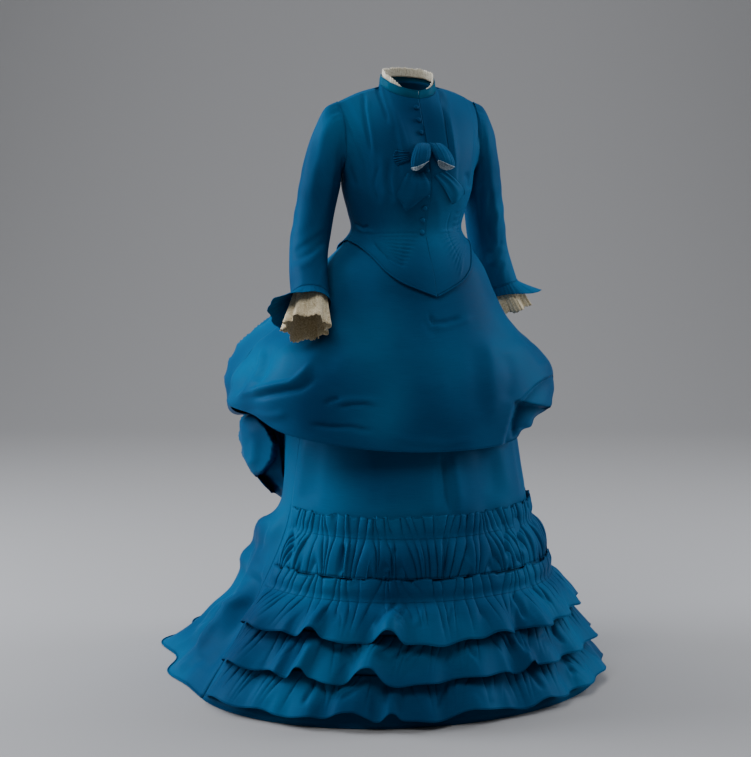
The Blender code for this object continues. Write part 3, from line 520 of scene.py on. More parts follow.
# Forms: half an oval in front and half of another behind, both as wide as half_width.
# Columns: height, half_width, front, back, corner (under 1 squares the back half out)
BODICE_FORM = np.array(
    (
        (0.880, 0.2145, 0.1640, 0.335, 1.0),
        (0.940, 0.1860, 0.1410, 0.240, 1.0),
        (0.985, 0.1530, 0.1175, 0.152, 1.0),
        (1.020, 0.1290, 0.1030, 0.102, 1.0),
        (1.060, 0.1350, 0.1100, 0.100, 1.0),
        (1.095, 0.1450, 0.1270, 0.105, 1.0),
        (1.120, 0.1510, 0.1360, 0.110, 1.0),
        (1.160, 0.1560, 0.1360, 0.118, 1.0),
    )
)
OVERSKIRT_FORM = np.array(
    (
        (0.550, 0.346, 0.250, 0.500, 0.85),
        (0.600, 0.358, 0.246, 0.520, 0.85),
        (0.650, 0.362, 0.238, 0.530, 0.85),
        (0.700, 0.352, 0.226, 0.530, 0.85),
        (0.730, 0.334, 0.217, 0.520, 0.85),
        (0.762, 0.306, 0.207, 0.505, 0.86),
        (0.785, 0.272, 0.198, 0.488, 0.88),
        (0.810, 0.248, 0.187, 0.460, 0.90),
        (0.850, 0.223, 0.171, 0.395, 0.95),
        (0.880, 0.2080, 0.1590, 0.3270, 1.0),
        (0.940, 0.1805, 0.1360, 0.2315, 1.0),
        (0.985, 0.1475, 0.1125, 0.1435, 1.0),
        (1.020, 0.1235, 0.0975, 0.0940, 1.0),
    )
)
UNDERSKIRT_FORM = np.array(
    (
        (0.000, 0.472, 0.398, 0.735, 0.84),
        (0.050, 0.442, 0.378, 0.620, 0.86),
        (0.110, 0.406, 0.354, 0.520, 0.90),
        (0.170, 0.376, 0.334, 0.450, 0.94),
        (0.247, 0.342, 0.309, 0.470, 1.0),
        (0.310, 0.314, 0.287, 0.400, 1.0),
        (0.372, 0.290, 0.264, 0.300, 1.0),
        (0.460, 0.272, 0.238, 0.300, 1.0),
        (0.560, 0.258, 0.214, 0.370, 1.0),
        (0.660, 0.240, 0.192, 0.420, 1.0),
        (0.760, 0.222, 0.168, 0.410, 1.0),
        (0.850, 0.192, 0.145, 0.320, 1.0),
        (0.940, 0.158, 0.119, 0.175, 1.0),
        (1.020, 0.1205, 0.0983, 0.0905, 1.0),
    )
)


def on_form(form, turn, height, out=0.0):
    """Points of a form at turns from the centre front, moved out by out."""
    width, front, back, corner = (smooth_line(form[:, 0], form[:, k], height) for k in range(1, 5))
    behind = np.cos(turn) < 0
    bend = np.where(behind, corner, 1.0)
    depth = np.where(behind, back, front)
    sine = np.sin(turn)
    cosine = np.cos(turn)
    x = (width + out) * np.sign(sine) * np.abs(sine) ** bend
    y = -(depth + out) * np.sign(cosine) * np.abs(cosine) ** bend
    return np.stack(np.broadcast_arrays(x, y, height), -1)


def mirrored(grid):
    return grid * np.array((-1.0, 1.0, 1.0))


def softened(grid, row, reach, passes):
    """Rounds off the fold that a grid has across one row."""
    grid = grid.copy()
    rows = np.arange(len(grid))
    weight = np.clip(1 - np.abs(rows - row) / reach, 0, 1)[1:-1, None, None]
    for _ in range(passes):
        middle = (grid[:-2] + grid[2:]) / 2
        grid[1:-1] += 0.5 * weight * (middle - grid[1:-1])
    return grid


# Bodice. Columns of each panel run from the centre line to the side seam, 0 to 10.
PANEL_STEPS = 10
TURN_STEP = QUARTER / PANEL_STEPS
NECK_POINT = 3.6
SHOULDER_TIP = 6.9
# Columns: column, x, y, height
FRONT_NECK = (
    (0.0, 0.0, -0.064, 1.311),
    (1.2, 0.033, -0.054, 1.317),
    (2.4, 0.054, -0.034, 1.327),
    (3.6, 0.064, -0.008, 1.339),
)
BACK_NECK = (
    (0.0, 0.0, 0.044, 1.352),
    (1.2, 0.028, 0.040, 1.351),
    (2.4, 0.054, 0.024, 1.347),
    (3.6, 0.064, -0.008, 1.339),
)
SHOULDER = ((3.6, 0.064, -0.008, 1.339), (5.2, 0.114, -0.003, 1.326), (6.9, 0.165, 0.0, 1.304))
FRONT_ARMHOLE = (
    (6.9, 0.1650, 0.0, 1.304),
    (7.7, 0.1660, -0.032, 1.270),
    (8.5, 0.1660, -0.047, 1.225),
    (9.3, 0.1620, -0.036, 1.176),
    (10.0, 0.1550, 0.0, 1.150),
)
BACK_ARMHOLE = (
    (6.9, 0.1650, 0.0, 1.304),
    (7.7, 0.1640, 0.032, 1.270),
    (8.5, 0.1610, 0.048, 1.225),
    (9.3, 0.1580, 0.036, 1.176),
    (10.0, 0.1550, 0.0, 1.150),
)
PLEAT_EDGES = (3.6, 6.1)
PLEAT_START = 2.4
PLEAT_FALL = 0.3
PLEAT_DEPTH = 0.0045
EDGE_TURNS = (0, 11, 23, 33, 42, 58, 75, 90, 120, 150, 180)
EDGE_HEIGHTS = (0.886, 0.902, 0.920, 0.941, 0.962, 0.986, 0.998, 1.002, 0.985, 0.958, 0.935)
FRONT_CROWDING = 1.25
BODICE_LOWER = 90
BODICE_UPPER = 42
SEAM_INSET = 0.0003
# About the bodice's radius at the waist, which turns a turn into a length of cloth
BODICE_RADIUS = 0.13
# A pressed seam's depth, and its width in columns of the panel
GROOVE_DEPTH = 0.0008
GROOVE_WIDTH = 0.10

# Folds of the right front as the photograph shows them: pixels, width in pixels, height in mm, tip
RIGHT_FRONT_FOLDS = (
    (((363, 88), (364, 108), (367, 128), (372, 158)), 1.7, -5.6, 0.0),
    (((367, 90), (368, 112), (372, 134), (376, 156)), 3.0, 2.4, 0.5),
    (((375, 80), (379, 94), (384, 108), (389, 124)), 1.6, -5.4, 0.0),
    (((379, 84), (384, 100), (390, 118), (395, 134)), 2.6, 2.4, 0.5),
    (((383, 150), (383, 182), (387, 206)), 4.0, 2.2, 0.0),
    (((390, 156), (388, 180), (392, 204)), 2.0, -2.8, 0.0),
    (((396, 160), (393, 182), (397, 208)), 4.0, 2.0, 0.0),
    (((379, 164), (374, 184), (380, 206)), 2.0, -2.4, 0.0),
    (((352, 130), (356, 165), (360, 200)), 5.0, 1.8, 0.0),
    (((345, 150), (349, 168), (357, 190)), 3.0, -2.2, 0.0),
    (((353, 222), (362, 228), (370, 226)), 1.6, -3.4, 0.0),
    (((356, 228), (364, 232), (374, 231)), 1.6, 2.4, 0.0),
)
LEFT_FRONT_FOLDS = (
    (((433, 82), (441, 94), (446, 118), (450, 146), (453, 172)), 1.8, -6.4, 0.0),
    (((437, 86), (446, 97), (450, 120), (454, 150), (457, 172)), 2.8, 2.6, -0.5),
    (((466, 172), (469, 180), (470, 190)), 2.6, -4.6, 0.0),
    (((474, 176), (473, 190), (468, 204)), 3.0, 1.6, 0.0),
    (((459, 186), (461, 200), (460, 215)), 3.6, 1.0, 0.0),
    (((437, 195), (440, 215), (438, 232)), 4.0, 0.8, 0.0),
    (((467, 203), (461, 209), (455, 213)), 1.5, 1.6, 0.0),
    (((466, 209), (460, 215), (453, 219)), 1.5, 1.6, 0.0),
    (((465, 215), (459, 221), (452, 225)), 1.5, 1.6, 0.0),
    (((464, 222), (459, 227), (452, 230)), 1.5, 1.4, 0.0),
)
# The gathers that fan from the waist's right side across the basque: tight valleys
WAIST_GATHERS = tuple(
    (
        (
            (363 + 1.8 * k, 235 + 1.3 * k),
            (382 + 1.0 * k, 234 + 3.0 * k),
            (402 - 0.2 * k, 233 + 3.8 * k),
            (424 - 2.0 * k, 234 + 4.0 * k),
        ),
        1.25,
        -2.2 - 0.62 * k,
        0.0,
    )
    for k in range(9)
)


def waist_fan(side):
    """Fine gathers that fan out from the side of the waist, as lines of (turn, height)."""
    lines = []
    for k in range(10):
        share = k / 9
        start = (side * math.radians(64 - 6 * share), 1.012 - 0.020 * share)
        end = (side * math.radians(14 + 8 * share), 1.020 - 0.106 * share)
        bend = (side * math.radians(40 - 3 * share), 1.020 - 0.058 * share)
        lines.append((start, bend, end))
    return lines


def top_edge(parts, column):
    """Neck, shoulder and armhole of a panel as one line, by column."""
    part = next(p for p in parts if column <= p[-1][0] + 1e-9)
    part = np.array(part)
    return np.array([float(smooth_line(part[:, 0], part[:, k], column)) for k in (1, 2, 3)])


def basque_edge(turn):
    return smooth_line(EDGE_TURNS, EDGE_HEIGHTS, np.abs(np.degrees(turn)))


def pleat_rise(column):
    """Saw-tooth across the front: each pleat swells slowly and falls sharply."""
    start = PLEAT_START
    for edge in PLEAT_EDGES:
        if start <= column <= edge:
            return (column - start) / (edge - start)
        if edge < column < edge + PLEAT_FALL:
            return 1 - (column - edge) / PLEAT_FALL
        start = edge + PLEAT_FALL
    return 0.0


def bodice_turn(column, back):
    if back:
        return math.pi - column * TURN_STEP
    return QUARTER * (column / PANEL_STEPS) ** FRONT_CROWDING


def bodice_column(column, back):
    """Points from the basque's edge up to the neck, shoulder or armhole."""
    turn = bodice_turn(column, back)
    low = float(basque_edge(turn))
    heights = np.linspace(low, BUST_HEIGHT, BODICE_LOWER + 1)
    lower = on_form(BODICE_FORM, np.full(heights.shape, turn), heights)
    start = lower[-1]
    if back:
        end = top_edge((BACK_NECK, SHOULDER, BACK_ARMHOLE), column)
    else:
        end = top_edge((FRONT_NECK, SHOULDER, FRONT_ARMHOLE), column)
    if column > SHOULDER_TIP:
        flat = 1.9
    elif back:
        flat = 2.4
    else:
        flat = 1.25 + 1.35 * float(ease(column / NECK_POINT))
    t = np.linspace(0, 1, BODICE_UPPER + 1)[1:]
    x = start[0] + (end[0] - start[0]) * ease(t)
    y = start[1] + (end[1] - start[1]) * t**flat
    z = start[2] + (end[2] - start[2]) * t
    if not back:
        y = y - PLEAT_DEPTH * pleat_rise(column) * ease((z - 1.10) / 0.10) * (1 - 0.4 * t)
    return np.concatenate([lower, np.stack([x, y, z], -1)])


def bodice_panel(back):
    columns = np.linspace(0, PANEL_STEPS, 41 if back else 96)
    grid = np.stack([bodice_column(c, back) for c in columns], axis=1)
    grid[:, 0] += unit(grid[:, 1] - grid[:, 0]) * SEAM_INSET
    grid[:, -1] += unit(grid[:, -2] - grid[:, -1]) * SEAM_INSET
    return softened(grid, BODICE_LOWER, 20, 60), columns


def lined(grid, lines, width, height):
    """Ridges along lines of (turn, height) drawn on the bodice."""
    out = np.zeros(grid.shape[:2])
    turn = np.arctan2(grid[..., 0], -grid[..., 1])
    flat = np.stack([turn * BODICE_RADIUS, grid[..., 2]], -1)
    for line in lines:
        path = np.array([(t * BODICE_RADIUS, h) for t, h in line])
        path = resample(path[:, None], 12, 0)[:, 0]
        distance, along = near_line(flat[..., 0] * 1000, flat[..., 1] * 1000, path * 1000)
        taper = ease(along / 0.12) * ease((1 - along) / 0.35)
        out += height * np.exp(-((distance / (width * 1000)) ** 2)) * taper
    return out


def seam_groove(columns, at, rows, low=0.0, high=1.0):
    """A pressed seam or dart: a shallow groove down one column of a panel, where rows run 0 to 1."""
    across = np.exp(-(((columns[None, :] - at[:, None]) / GROOVE_WIDTH) ** 2))
    share = rows[:, None]
    return -GROOVE_DEPTH * across * ease((share - low) / 0.06) * ease((high - share) / 0.06)


def build_bodice():
    """The four panels, each with its seams, darts and folds, by name."""
    made = {}
    for back in (False, True):
        base, columns = bodice_panel(back)
        rows = np.linspace(0, 1, len(base))
        for side, word in ((1, "left"), (-1, "right")):
            grid = base if side > 0 else mirrored(base)
            normals = faces_of(grid)
            out = 0.0006 * drift(grid[..., 0] * 18 + 5, grid[..., 2] * 14 + side, 11)
            if back:
                princess = 3.4 + 1.6 * np.sin(rows * 2.2) ** 2
                out = out + seam_groove(columns, princess, rows)
                out = out + seam_groove(columns, np.full(rows.shape, 6.9), rows, high=0.8)
            else:
                out = out + lined(grid, waist_fan(side), 0.0024, 0.0010 if side < 0 else 0.0022)
                out = out + creased(grid, normals, RIGHT_FRONT_FOLDS if side < 0 else LEFT_FRONT_FOLDS)
                out = out + creased(grid, normals, WAIST_GATHERS)
                out = out + seam_groove(columns, 3.6 + 0.5 * rows, rows, low=0.10, high=0.50)
                out = out + seam_groove(columns, 5.6 + 0.5 * rows, rows, low=0.14, high=0.48)
            grid = grid + normals * out[..., None]
            name = ("bodice_back_" if back else "bodice_front_") + word
            cloth(name + "_silk", grid, BLUE, (name,), held="hung")
            made[name] = grid
    return made


def on_panel(grid, x, height, out=0.0):
    """Points of a front panel at x and height, moved out from it."""
    gap = (grid[..., 0] - x) ** 2 + (grid[..., 2] - height) ** 2
    r, c = np.unravel_index(np.argmin(gap), gap.shape)
    r = min(max(r, 1), grid.shape[0] - 2)
    c = min(max(c, 1), grid.shape[1] - 2)
    down = unit(grid[r + 1, c] - grid[r - 1, c])
    across = unit(grid[r, c + 1] - grid[r, c - 1])
    normal = unit(np.cross(across, down))
    if normal[1] > 0:
        normal = -normal
    place = grid[r, c]
    slip = np.linalg.lstsq(
        np.array([[across[0], down[0]], [across[2], down[2]]]),
        np.array([x - place[0], height - place[2]]),
        rcond=None,
    )[0]
    return place + slip[0] * across + slip[1] * down + normal * out, normal


def build_piping(panels):
    """The silk-covered cord along the basque's edge."""
    for word in ("left", "right"):
        front = panels["bodice_front_" + word]
        edge = front[0, 1:-1]
        outward = unit(front[0, 1:-1] - front[2, 1:-1])
        normal = faces_of(front)[0, 1:-1]
        line = edge + outward * 0.0016 + normal * 0.0004
        roll("basque_piping_" + word, line[::2], 0.0020, BLUE, ("piping_" + word,))


def back_edge_cord(panels):
    for word in ("left", "right"):
        back = panels["bodice_back_" + word]
        line = back[0] + faces_of(back)[0] * 0.0002
        roll("basque_back_cord_" + word, line[::2], 0.0012, BLUE)


panels = build_bodice()
build_piping(panels)
back_edge_cord(panels)


# Collar and neck frill
COLLAR_HEIGHT = 0.0165
COLLAR_DIP = 0.0015
COLLAR_LEAN = 0.002
NECK_MIDDLE = np.array((0, -0.010, 1.34))
COLLAR_OPENING = math.radians(0.5)
NECK_OPENING = math.radians(2)
FRILL_DIP = 0.62


def neck_seam(turns):
    """Points of the neck's seam by turn from the centre front."""
    points = []
    for turn in turns:
        turn = math.atan2(math.sin(turn), math.cos(turn))
        share = abs(turn) / math.pi
        part, share = (FRONT_NECK, share * 2) if share <= 0.5 else (BACK_NECK, 2 - share * 2)
        p = top_edge((part,), NECK_POINT * share)
        points.append((math.copysign(p[0], turn) if abs(turn) > 1e-6 else 0.0, p[1], p[2]))
    return np.array(points)


def collar_band(turns, rises, insets):
    """Rows above the neck's seam: each is a rise and an inset, one value or one to a turn."""
    seam = neck_seam(turns)
    inward = unit((NECK_MIDDLE - seam) * np.array((1, 1, 0)))
    rows = []
    for rise, inset in zip(rises, insets):
        rise = np.broadcast_to(rise, len(turns))[:, None]
        inset = np.broadcast_to(inset, len(turns))[:, None]
        rows.append(seam + np.concatenate([0 * rise, -0.12 * rise, rise], 1) + inward * inset)
    return np.array(rows)


def build_collar():
    turns = np.linspace(COLLAR_OPENING, 2 * math.pi - COLLAR_OPENING, 121)
    dip = COLLAR_DIP * ease((np.cos(turns) - 0.80) / 0.20)
    shares = np.linspace(0, 1, 9)
    rises = [0.0008 + (COLLAR_HEIGHT - dip) * s for s in shares]
    pressed = 0.0009 * np.abs(np.sin(4 * turns)) ** 6
    insets = [COLLAR_LEAN * s - pressed * s * (1 - s) * 3 - 0.0006 * math.sin(math.pi * s) for s in shares]
    grid = collar_band(turns, rises, insets)
    cloth("collar_silk_band", grid, TEAL, ("collar",), inside=NECK_MIDDLE, held="stretched")
    for name, row in (("collar_top_edge", grid[-1]), ("collar_seam_edge", grid[0])):
        roll(name, row, 0.0009, TEAL)
    turns = np.linspace(NECK_OPENING, 2 * math.pi - NECK_OPENING, 481)
    place = turns * 9.0
    shares = np.linspace(0, 1, 7)
    dip = 1 - FRILL_DIP * ease((np.cos(turns) - 0.35) / 0.65)
    tall = (0.0205 - 0.0012 * wander(turns * 12, 3) + 0.0008 * np.cos(place * 2 * math.pi)) * dip
    rises = [0.008 + tall * s for s in shares]
    insets = [
        0.0034 + COLLAR_LEAN * (0.5 + 1.2 * s) + (0.0004 + 0.0022 * s) * (gathers(place, 31, 0.8) - 0.5)
        + 0.0010 * s * wander(turns * 6, 5)
        for s in shares
    ]
    grid = collar_band(turns, rises, insets)
    cloth("neck_frill_crepe", grid, IVORY, ("neck_frill",), inside=NECK_MIDDLE, **FINE_GATHERED)


# Sleeves. Columns: x, y, height, lean, swing, across, along
LEFT_SLEEVE = (
    (0.2000, 0.028, 1.125, 77, -16, 0.0440, 0.051),
    (0.2220, 0.054, 1.060, 73, -20, 0.0435, 0.048),
    (0.2390, 0.072, 1.000, 74, -6, 0.0435, 0.048),
    (0.2505, 0.075, 0.955, 75, 3, 0.0430, 0.046),
    (0.2600, 0.070, 0.918, 75, 6, 0.0425, 0.044),
    (0.2690, 0.064, 0.885, 75, 6, 0.0425, 0.043),
)
RIGHT_SLEEVE = (
    (0.2010, 0.014, 1.125, 83, -8, 0.0435, 0.051),
    (0.2090, 0.029, 1.060, 83, -12, 0.0425, 0.048),
    (0.2175, 0.038, 1.000, 79, 2, 0.0430, 0.048),
    (0.2290, 0.016, 0.955, 75, 30, 0.0420, 0.046),
    (0.2410, -0.017, 0.918, 72, 38, 0.0415, 0.044),
    (0.2530, -0.050, 0.885, 72, 38, 0.0415, 0.043),
)
SLEEVE_SIDES = 14
CAP_RINGS = 4
CAP_REACH = 0.105
CAP_DROP = 0.170
CAP_GAP = 0.0012
# Columns: rear angle, silk length, lace length, lace spread, lace shift
WRISTS = {
    "left": (336, 0.060, 0.070, 0.002, (0.012, -0.004, -0.002)),
    "right": (334, 0.064, 0.080, 0.009, (0.014, -0.010, -0.010)),
}
CUFF_SHORT = 0.020
CUFF_FLARE = 0.044

RIGHT_SLEEVE_FOLDS = (
    (((333, 112), (322, 140), (314, 175), (309, 205)), 5.0, 2.2, 0.3),
    (((338, 130), (334, 165), (328, 200), (322, 228)), 4.0, 1.8, 0.3),
    (((318, 118), (309, 150), (303, 185), (298, 215)), 4.0, 1.6, -0.3),
    (((338, 168), (336, 190), (331, 212)), 3.0, -2.2, 0.0),
    (((326, 225), (312, 236), (297, 246), (289, 255)), 3.6, 2.2, 0.5),
    (((327, 240), (312, 252), (298, 259), (288, 263)), 3.0, -2.6, 0.0),
    (((325, 246), (310, 262), (296, 269), (288, 271)), 3.2, 1.8, 0.3),
    (((328, 262), (322, 275), (318, 290)), 3.0, 1.2, 0.0),
    (((300, 262), (302, 275), (303, 290)), 3.4, 1.0, 0.0),
)
LEFT_SLEEVE_FOLDS = (
    (((482, 112), (487, 140), (490, 170), (495, 205), (500, 238)), 3.6, 2.6, -0.4),
    (((479, 140), (482, 172), (480, 206), (483, 235)), 3.2, -2.4, 0.0),
    (((492, 186), (490, 206), (487, 228), (492, 246)), 2.8, -2.8, 0.0),
    (((476, 178), (477, 200), (480, 224)), 3.0, 2.0, 0.4),
    (((498, 205), (496, 228), (498, 250)), 2.6, 2.0, 0.3),
    (((504, 240), (497, 250), (490, 253), (484, 250)), 2.6, -2.6, 0.0),
    (((506, 246), (499, 258), (491, 263), (485, 262)), 3.0, 2.2, 0.3),
    (((507, 258), (503, 272), (505, 286)), 3.0, 1.6, 0.2),
    (((493, 262), (495, 278), (499, 290)), 2.8, -1.8, 0.0),
)


def station_points(station, angles, out=0.0, further=0.0):
    """A ring of a sleeve across its own direction."""
    x, y, z, lean, swing, across, along = station
    lean = math.radians(lean)
    swing = math.radians(swing)
    down = np.array((math.cos(lean) * math.cos(swing), -math.sin(swing), -math.sin(lean) * math.cos(swing)))
    outward = np.array((math.sin(lean), 0, math.cos(lean)))
    forward = np.cross(down, outward)
    out = np.broadcast_to(out, angles.shape)
    further = np.broadcast_to(further, angles.shape)
    return (
        np.array((x, y, z))
        + down * further[:, None]
        + outward * ((across + out) * np.cos(angles))[:, None]
        + forward * ((along + out) * np.sin(angles))[:, None]
    ), down


def armhole_loop():
    """The armhole's corners, from the shoulder tip down the front and up the back."""
    front = [top_edge((FRONT_NECK, SHOULDER, FRONT_ARMHOLE), c) for c in (6.9001, 7.7, 8.5, 9.3, 10.0)]
    back = [top_edge((BACK_NECK, SHOULDER, BACK_ARMHOLE), c) for c in (10.0, 9.3, 8.5, 7.7, 6.9001)]
    return np.array(front + back[1:-1])


def around_loop(loop, count):
    """Points spread evenly round a closed line of corners."""
    loop = np.concatenate([loop, loop[:1]])
    run = np.concatenate([[0], np.cumsum(np.linalg.norm(np.diff(loop, axis=0), axis=1))])
    at = np.linspace(0, run[-1], count, endpoint=False)
    return np.stack([np.interp(at, run, loop[:, k]) for k in range(3)], -1)


def sleeve_grid(stations):
    angles = 2 * math.pi * np.arange(SLEEVE_SIDES) / SLEEVE_SIDES
    start = around_loop(armhole_loop(), SLEEVE_SIDES) + np.array((CAP_GAP, 0, 0))
    end, down = station_points(stations[0], angles)
    fullness = 0.5 + 0.5 * np.cos(angles)
    leave = np.stack([0.030 + CAP_REACH * fullness, 0 * angles, 0 * angles], -1)
    arrive = down * (0.035 + CAP_DROP * fullness)[:, None]
    rows = []
    for ring in range(CAP_RINGS + 1):
        t = ring / (CAP_RINGS + 1)
        rows.append(
            start * ((1 + 2 * t) * (1 - t) ** 2)
            + leave * (t * (1 - t) ** 2)
            + end * (t * t * (3 - 2 * t))
            + arrive * (t * t * (t - 1))
        )
    rows += [station_points(s, angles)[0] for s in stations]
    return resample(resample(np.array(rows), 101, 0), 96, 1, closed=True)


# Turns round the arm of the sleeve's two seams, and how far each shows
SLEEVE_SEAMS = (4.4, 2.3)
SEAM_SPREAD = 0.030


def build_sleeve(side):
    stations = LEFT_SLEEVE if side == "left" else RIGHT_SLEEVE
    rear, silk_long, lace_long, lace_spread, lace_shift = WRISTS[side]
    grid = sleeve_grid(stations)
    if side == "right":
        grid = mirrored(grid)
    inside = grid.mean(axis=1, keepdims=True)
    normals = faces_of(grid, True, inside)
    rows = np.linspace(0, 1, len(grid))[:, None]
    around = np.linspace(0, 2 * math.pi, grid.shape[1], endpoint=False)[None, :]
    seam = sum(np.exp(-((np.sin((around - turn) / 2) / SEAM_SPREAD) ** 2)) for turn in SLEEVE_SEAMS)
    out = -0.0009 * seam * ease(rows / 0.1)
    folds = LEFT_SLEEVE_FOLDS if side == "left" else RIGHT_SLEEVE_FOLDS
    out = out + creased(grid, normals, folds)
    out = out + 0.0014 * drift(around * 1.6 + 3, rows * 9, 21) * ease(rows / 0.15)
    ease_in = gathers(around * 7 / math.pi * 2, 25, 1.0) * np.clip(np.cos(around) + 0.2, 0, 1)
    out = out + 0.0011 * ease_in * ease(rows / 0.02) * ease((0.16 - rows) / 0.14)
    wrinkle = np.sin(rows * 74 + 1.6 * np.sin(around + 0.6)) * np.exp(-(((rows - 0.60) / 0.10) ** 2))
    out = out + 0.0011 * wrinkle * np.clip(np.sin(around + (0.5 if side == "left" else 2.6)), 0, 1)
    grid = grid + normals * out[..., None]
    name = "sleeve_" + side
    middle = grid.mean(axis=1, keepdims=True)
    cloth(name + "_silk", grid, BLUE, (name,), closed=True, inside=middle, held="hung")
    roll(f"armhole_cord_{side}", grid[0] + normals[0] * 0.0004, 0.0009, BLUE, closed=True)
    build_cuff(side, stations, rear, silk_long)
    build_lace(side, stations, lace_long, lace_spread, lace_shift)


def build_cuff(side, stations, rear, silk_long):
    """The silk frill: short over the hand, long and flared at the back of the wrist."""
    angles = np.linspace(0, 2 * math.pi, 200, endpoint=False)
    rear_share = ease(0.5 + 0.5 * np.cos(angles - math.radians(rear))) ** 1.4
    length = CUFF_SHORT + (silk_long - CUFF_SHORT) * rear_share
    rows = []
    for share in np.linspace(0, 1, 19):
        flare = (0.004 + CUFF_FLARE * rear_share) * share**1.2
        wave = 0.0045 * share * rear_share * np.cos(4 * angles)
        fine = (0.0026 * share * (1 - 0.55 * share) + 0.0006) * (gathers(angles * 5.2, 41) - 0.5)
        crimp = 0.0022 * share * np.sin(11 * angles + 1.3 * np.sin(2 * angles))
        further = 0.0006 + length * share * (1 - 0.3 * rear_share)
        out = flare + wave + fine + crimp * rear_share
        rows.append(station_points(stations[-1], angles, out, further)[0])
    grid = np.array(rows)
    if side == "right":
        grid = mirrored(grid)
    middle = grid.mean(axis=1, keepdims=True)
    name = "cuff_frill_" + side
    cloth(name + "_silk", grid, BLUE, (name,), closed=True, inside=middle, **FINE_GATHERED)
    roll(f"cuff_band_{side}", grid[0] + unit(grid[0] - middle[0]) * 0.0004, 0.0010, BLUE, closed=True)
    roll(f"cuff_hem_{side}", grid[-1], 0.0007, BLUE, closed=True, sides=6)


def build_lace(side, stations, long, spread, shift):
    """The net frill inside the silk one, in fine pleats, which hangs on towards the hand."""
    angles = np.linspace(0, 2 * math.pi, 300, endpoint=False)
    rows = []
    for share in np.linspace(0, 1, 13):
        broad = (0.0008 + 0.0062 * share**1.4) * np.cos(8 * angles + 1.4 * np.sin(2 * angles))
        fine = (0.0010 + 0.0022 * share) * (gathers(angles * 5.2, 51, 0.6) - 0.5)
        out = -0.0051 + (spread + 0.003) * share + broad + fine
        scallop = 0.0026 * np.abs(np.sin(angles * 17)) * ease((share - 0.7) / 0.3)
        ragged = 0.0050 * share * wander(angles * 3.2, 53)
        further = -0.006 + (long - 0.004) * share + scallop + ragged
        ring = station_points(stations[-1], angles, out, further)[0]
        rows.append(ring + np.array(shift) * share)
    grid = np.array(rows)
    if side == "right":
        grid = mirrored(grid)
    middle = grid.mean(axis=1, keepdims=True)
    name = "lace_frill_" + side
    cloth(name + "_net", grid, LACE, (name,), closed=True, inside=middle, **FINE_GATHERED)


build_collar()
build_sleeve("left")
build_sleeve("right")

# Buttons, covered in the silk
BUTTON_COUNT = 11
BUTTON_TOP = 1.291
BUTTON_PITCH = 0.0270
BUTTON_X = -0.0105
# Columns: radius, height above the cloth
BUTTON_PROFILE = (
    (0.0015, 0.0004),
    (0.0016, 0.0016),
    (0.0046, 0.0017),
    (0.0055, 0.0024),
    (0.0057, 0.0031),
    (0.0050, 0.0042),
    (0.0034, 0.0050),
    (0.0016, 0.0053),
    (0.0002, 0.0054),
)


def on_front(x, height, out=0.0):
    """A point on whichever front holds x, moved out from it, and that front's normal there."""
    return on_panel(panels["bodice_front_left" if x > 0 else "bodice_front_right"], x, height, out)


def build_buttons():
    sides = 24
    angles = 2 * math.pi * np.arange(sides) / sides
    for k in range(BUTTON_COUNT):
        seat, normal = on_front(BUTTON_X, BUTTON_TOP - BUTTON_PITCH * k)
        across = unit(np.cross(normal, SKYWARD))
        up = np.cross(across, normal)
        points = [
            seat + normal * height + (across * math.cos(a) + up * math.sin(a)) * radius
            for radius, height in BUTTON_PROFILE
            for a in angles
        ]
        faces = []
        for r in range(len(BUTTON_PROFILE) - 1):
            for c in range(sides):
                d = (c + 1) % sides
                faces.append((r * sides + c, r * sides + d, (r + 1) * sides + d, (r + 1) * sides + c))
        faces.append(tuple(range(sides))[::-1])
        faces.append(tuple(range((len(BUTTON_PROFILE) - 1) * sides, len(BUTTON_PROFILE) * sides)))
        uv = [(radius * math.cos(a), radius * math.sin(a)) for radius, _ in BUTTON_PROFILE for a in angles]
        mesh = mesh_of("button", np.array(points), faces, np.array(uv))
        obj = bpy.data.objects.new(f"covered_button_{k + 1:02d}", mesh)
        link(obj, *BLUE, (f"button_{k + 1:02d}",))


# Bow: each loop is a bell of ribbon, open below, with its pale facing inside
# Columns: share, x, height, half_width, half_depth
LOOP_RINGS = (
    (0.0, 0.0120, 1.2110, 0.0055, 0.0040),
    (0.2, 0.0185, 1.2075, 0.0130, 0.0085),
    (0.5, 0.0245, 1.1945, 0.0195, 0.0120),
    (0.8, 0.0285, 1.1780, 0.0218, 0.0125),
    (1.0, 0.0300, 1.1670, 0.0195, 0.0110),
)
# The lip's drop at the front and at the back, which shows a crescent of the facing, and outwards
LIP_FRONT = -0.0010
LIP_BACK = -0.0125
LIP_TILT = 0.0075
LOOP_SHIFT = {1: 0.0036, -1: 0.0003}
LOOP_CLEAR = 0.0068
KNOT_X = -0.0045
KNOT_HEIGHT = 1.1965
KNOT_HALVES = np.array((0.0090, 0.0110, 0.0118))
FACING_INSET = 0.0016
# Columns: clear, then x and height of three points across
TAILS = {
    "bow_tail_right": (
        (0.0024, -0.056, 1.152, -0.038, 1.152, -0.020, 1.152),
        (0.0092, -0.066, 1.127, -0.038, 1.129, -0.010, 1.131),
        (0.0092, -0.075, 1.103, -0.042, 1.100, -0.006, 1.109),
        (0.0070, -0.062, 1.088, -0.050, 1.073, -0.028, 1.091),
    ),
    "bow_tail_left": (
        (0.0038, 0.006, 1.144, 0.020, 1.149, 0.034, 1.154),
        (0.0046, 0.026, 1.121, 0.044, 1.130, 0.060, 1.136),
        (0.0050, 0.044, 1.099, 0.064, 1.109, 0.084, 1.117),
        (0.0050, 0.058, 1.083, 0.070, 1.090, 0.090, 1.104),
    ),
}


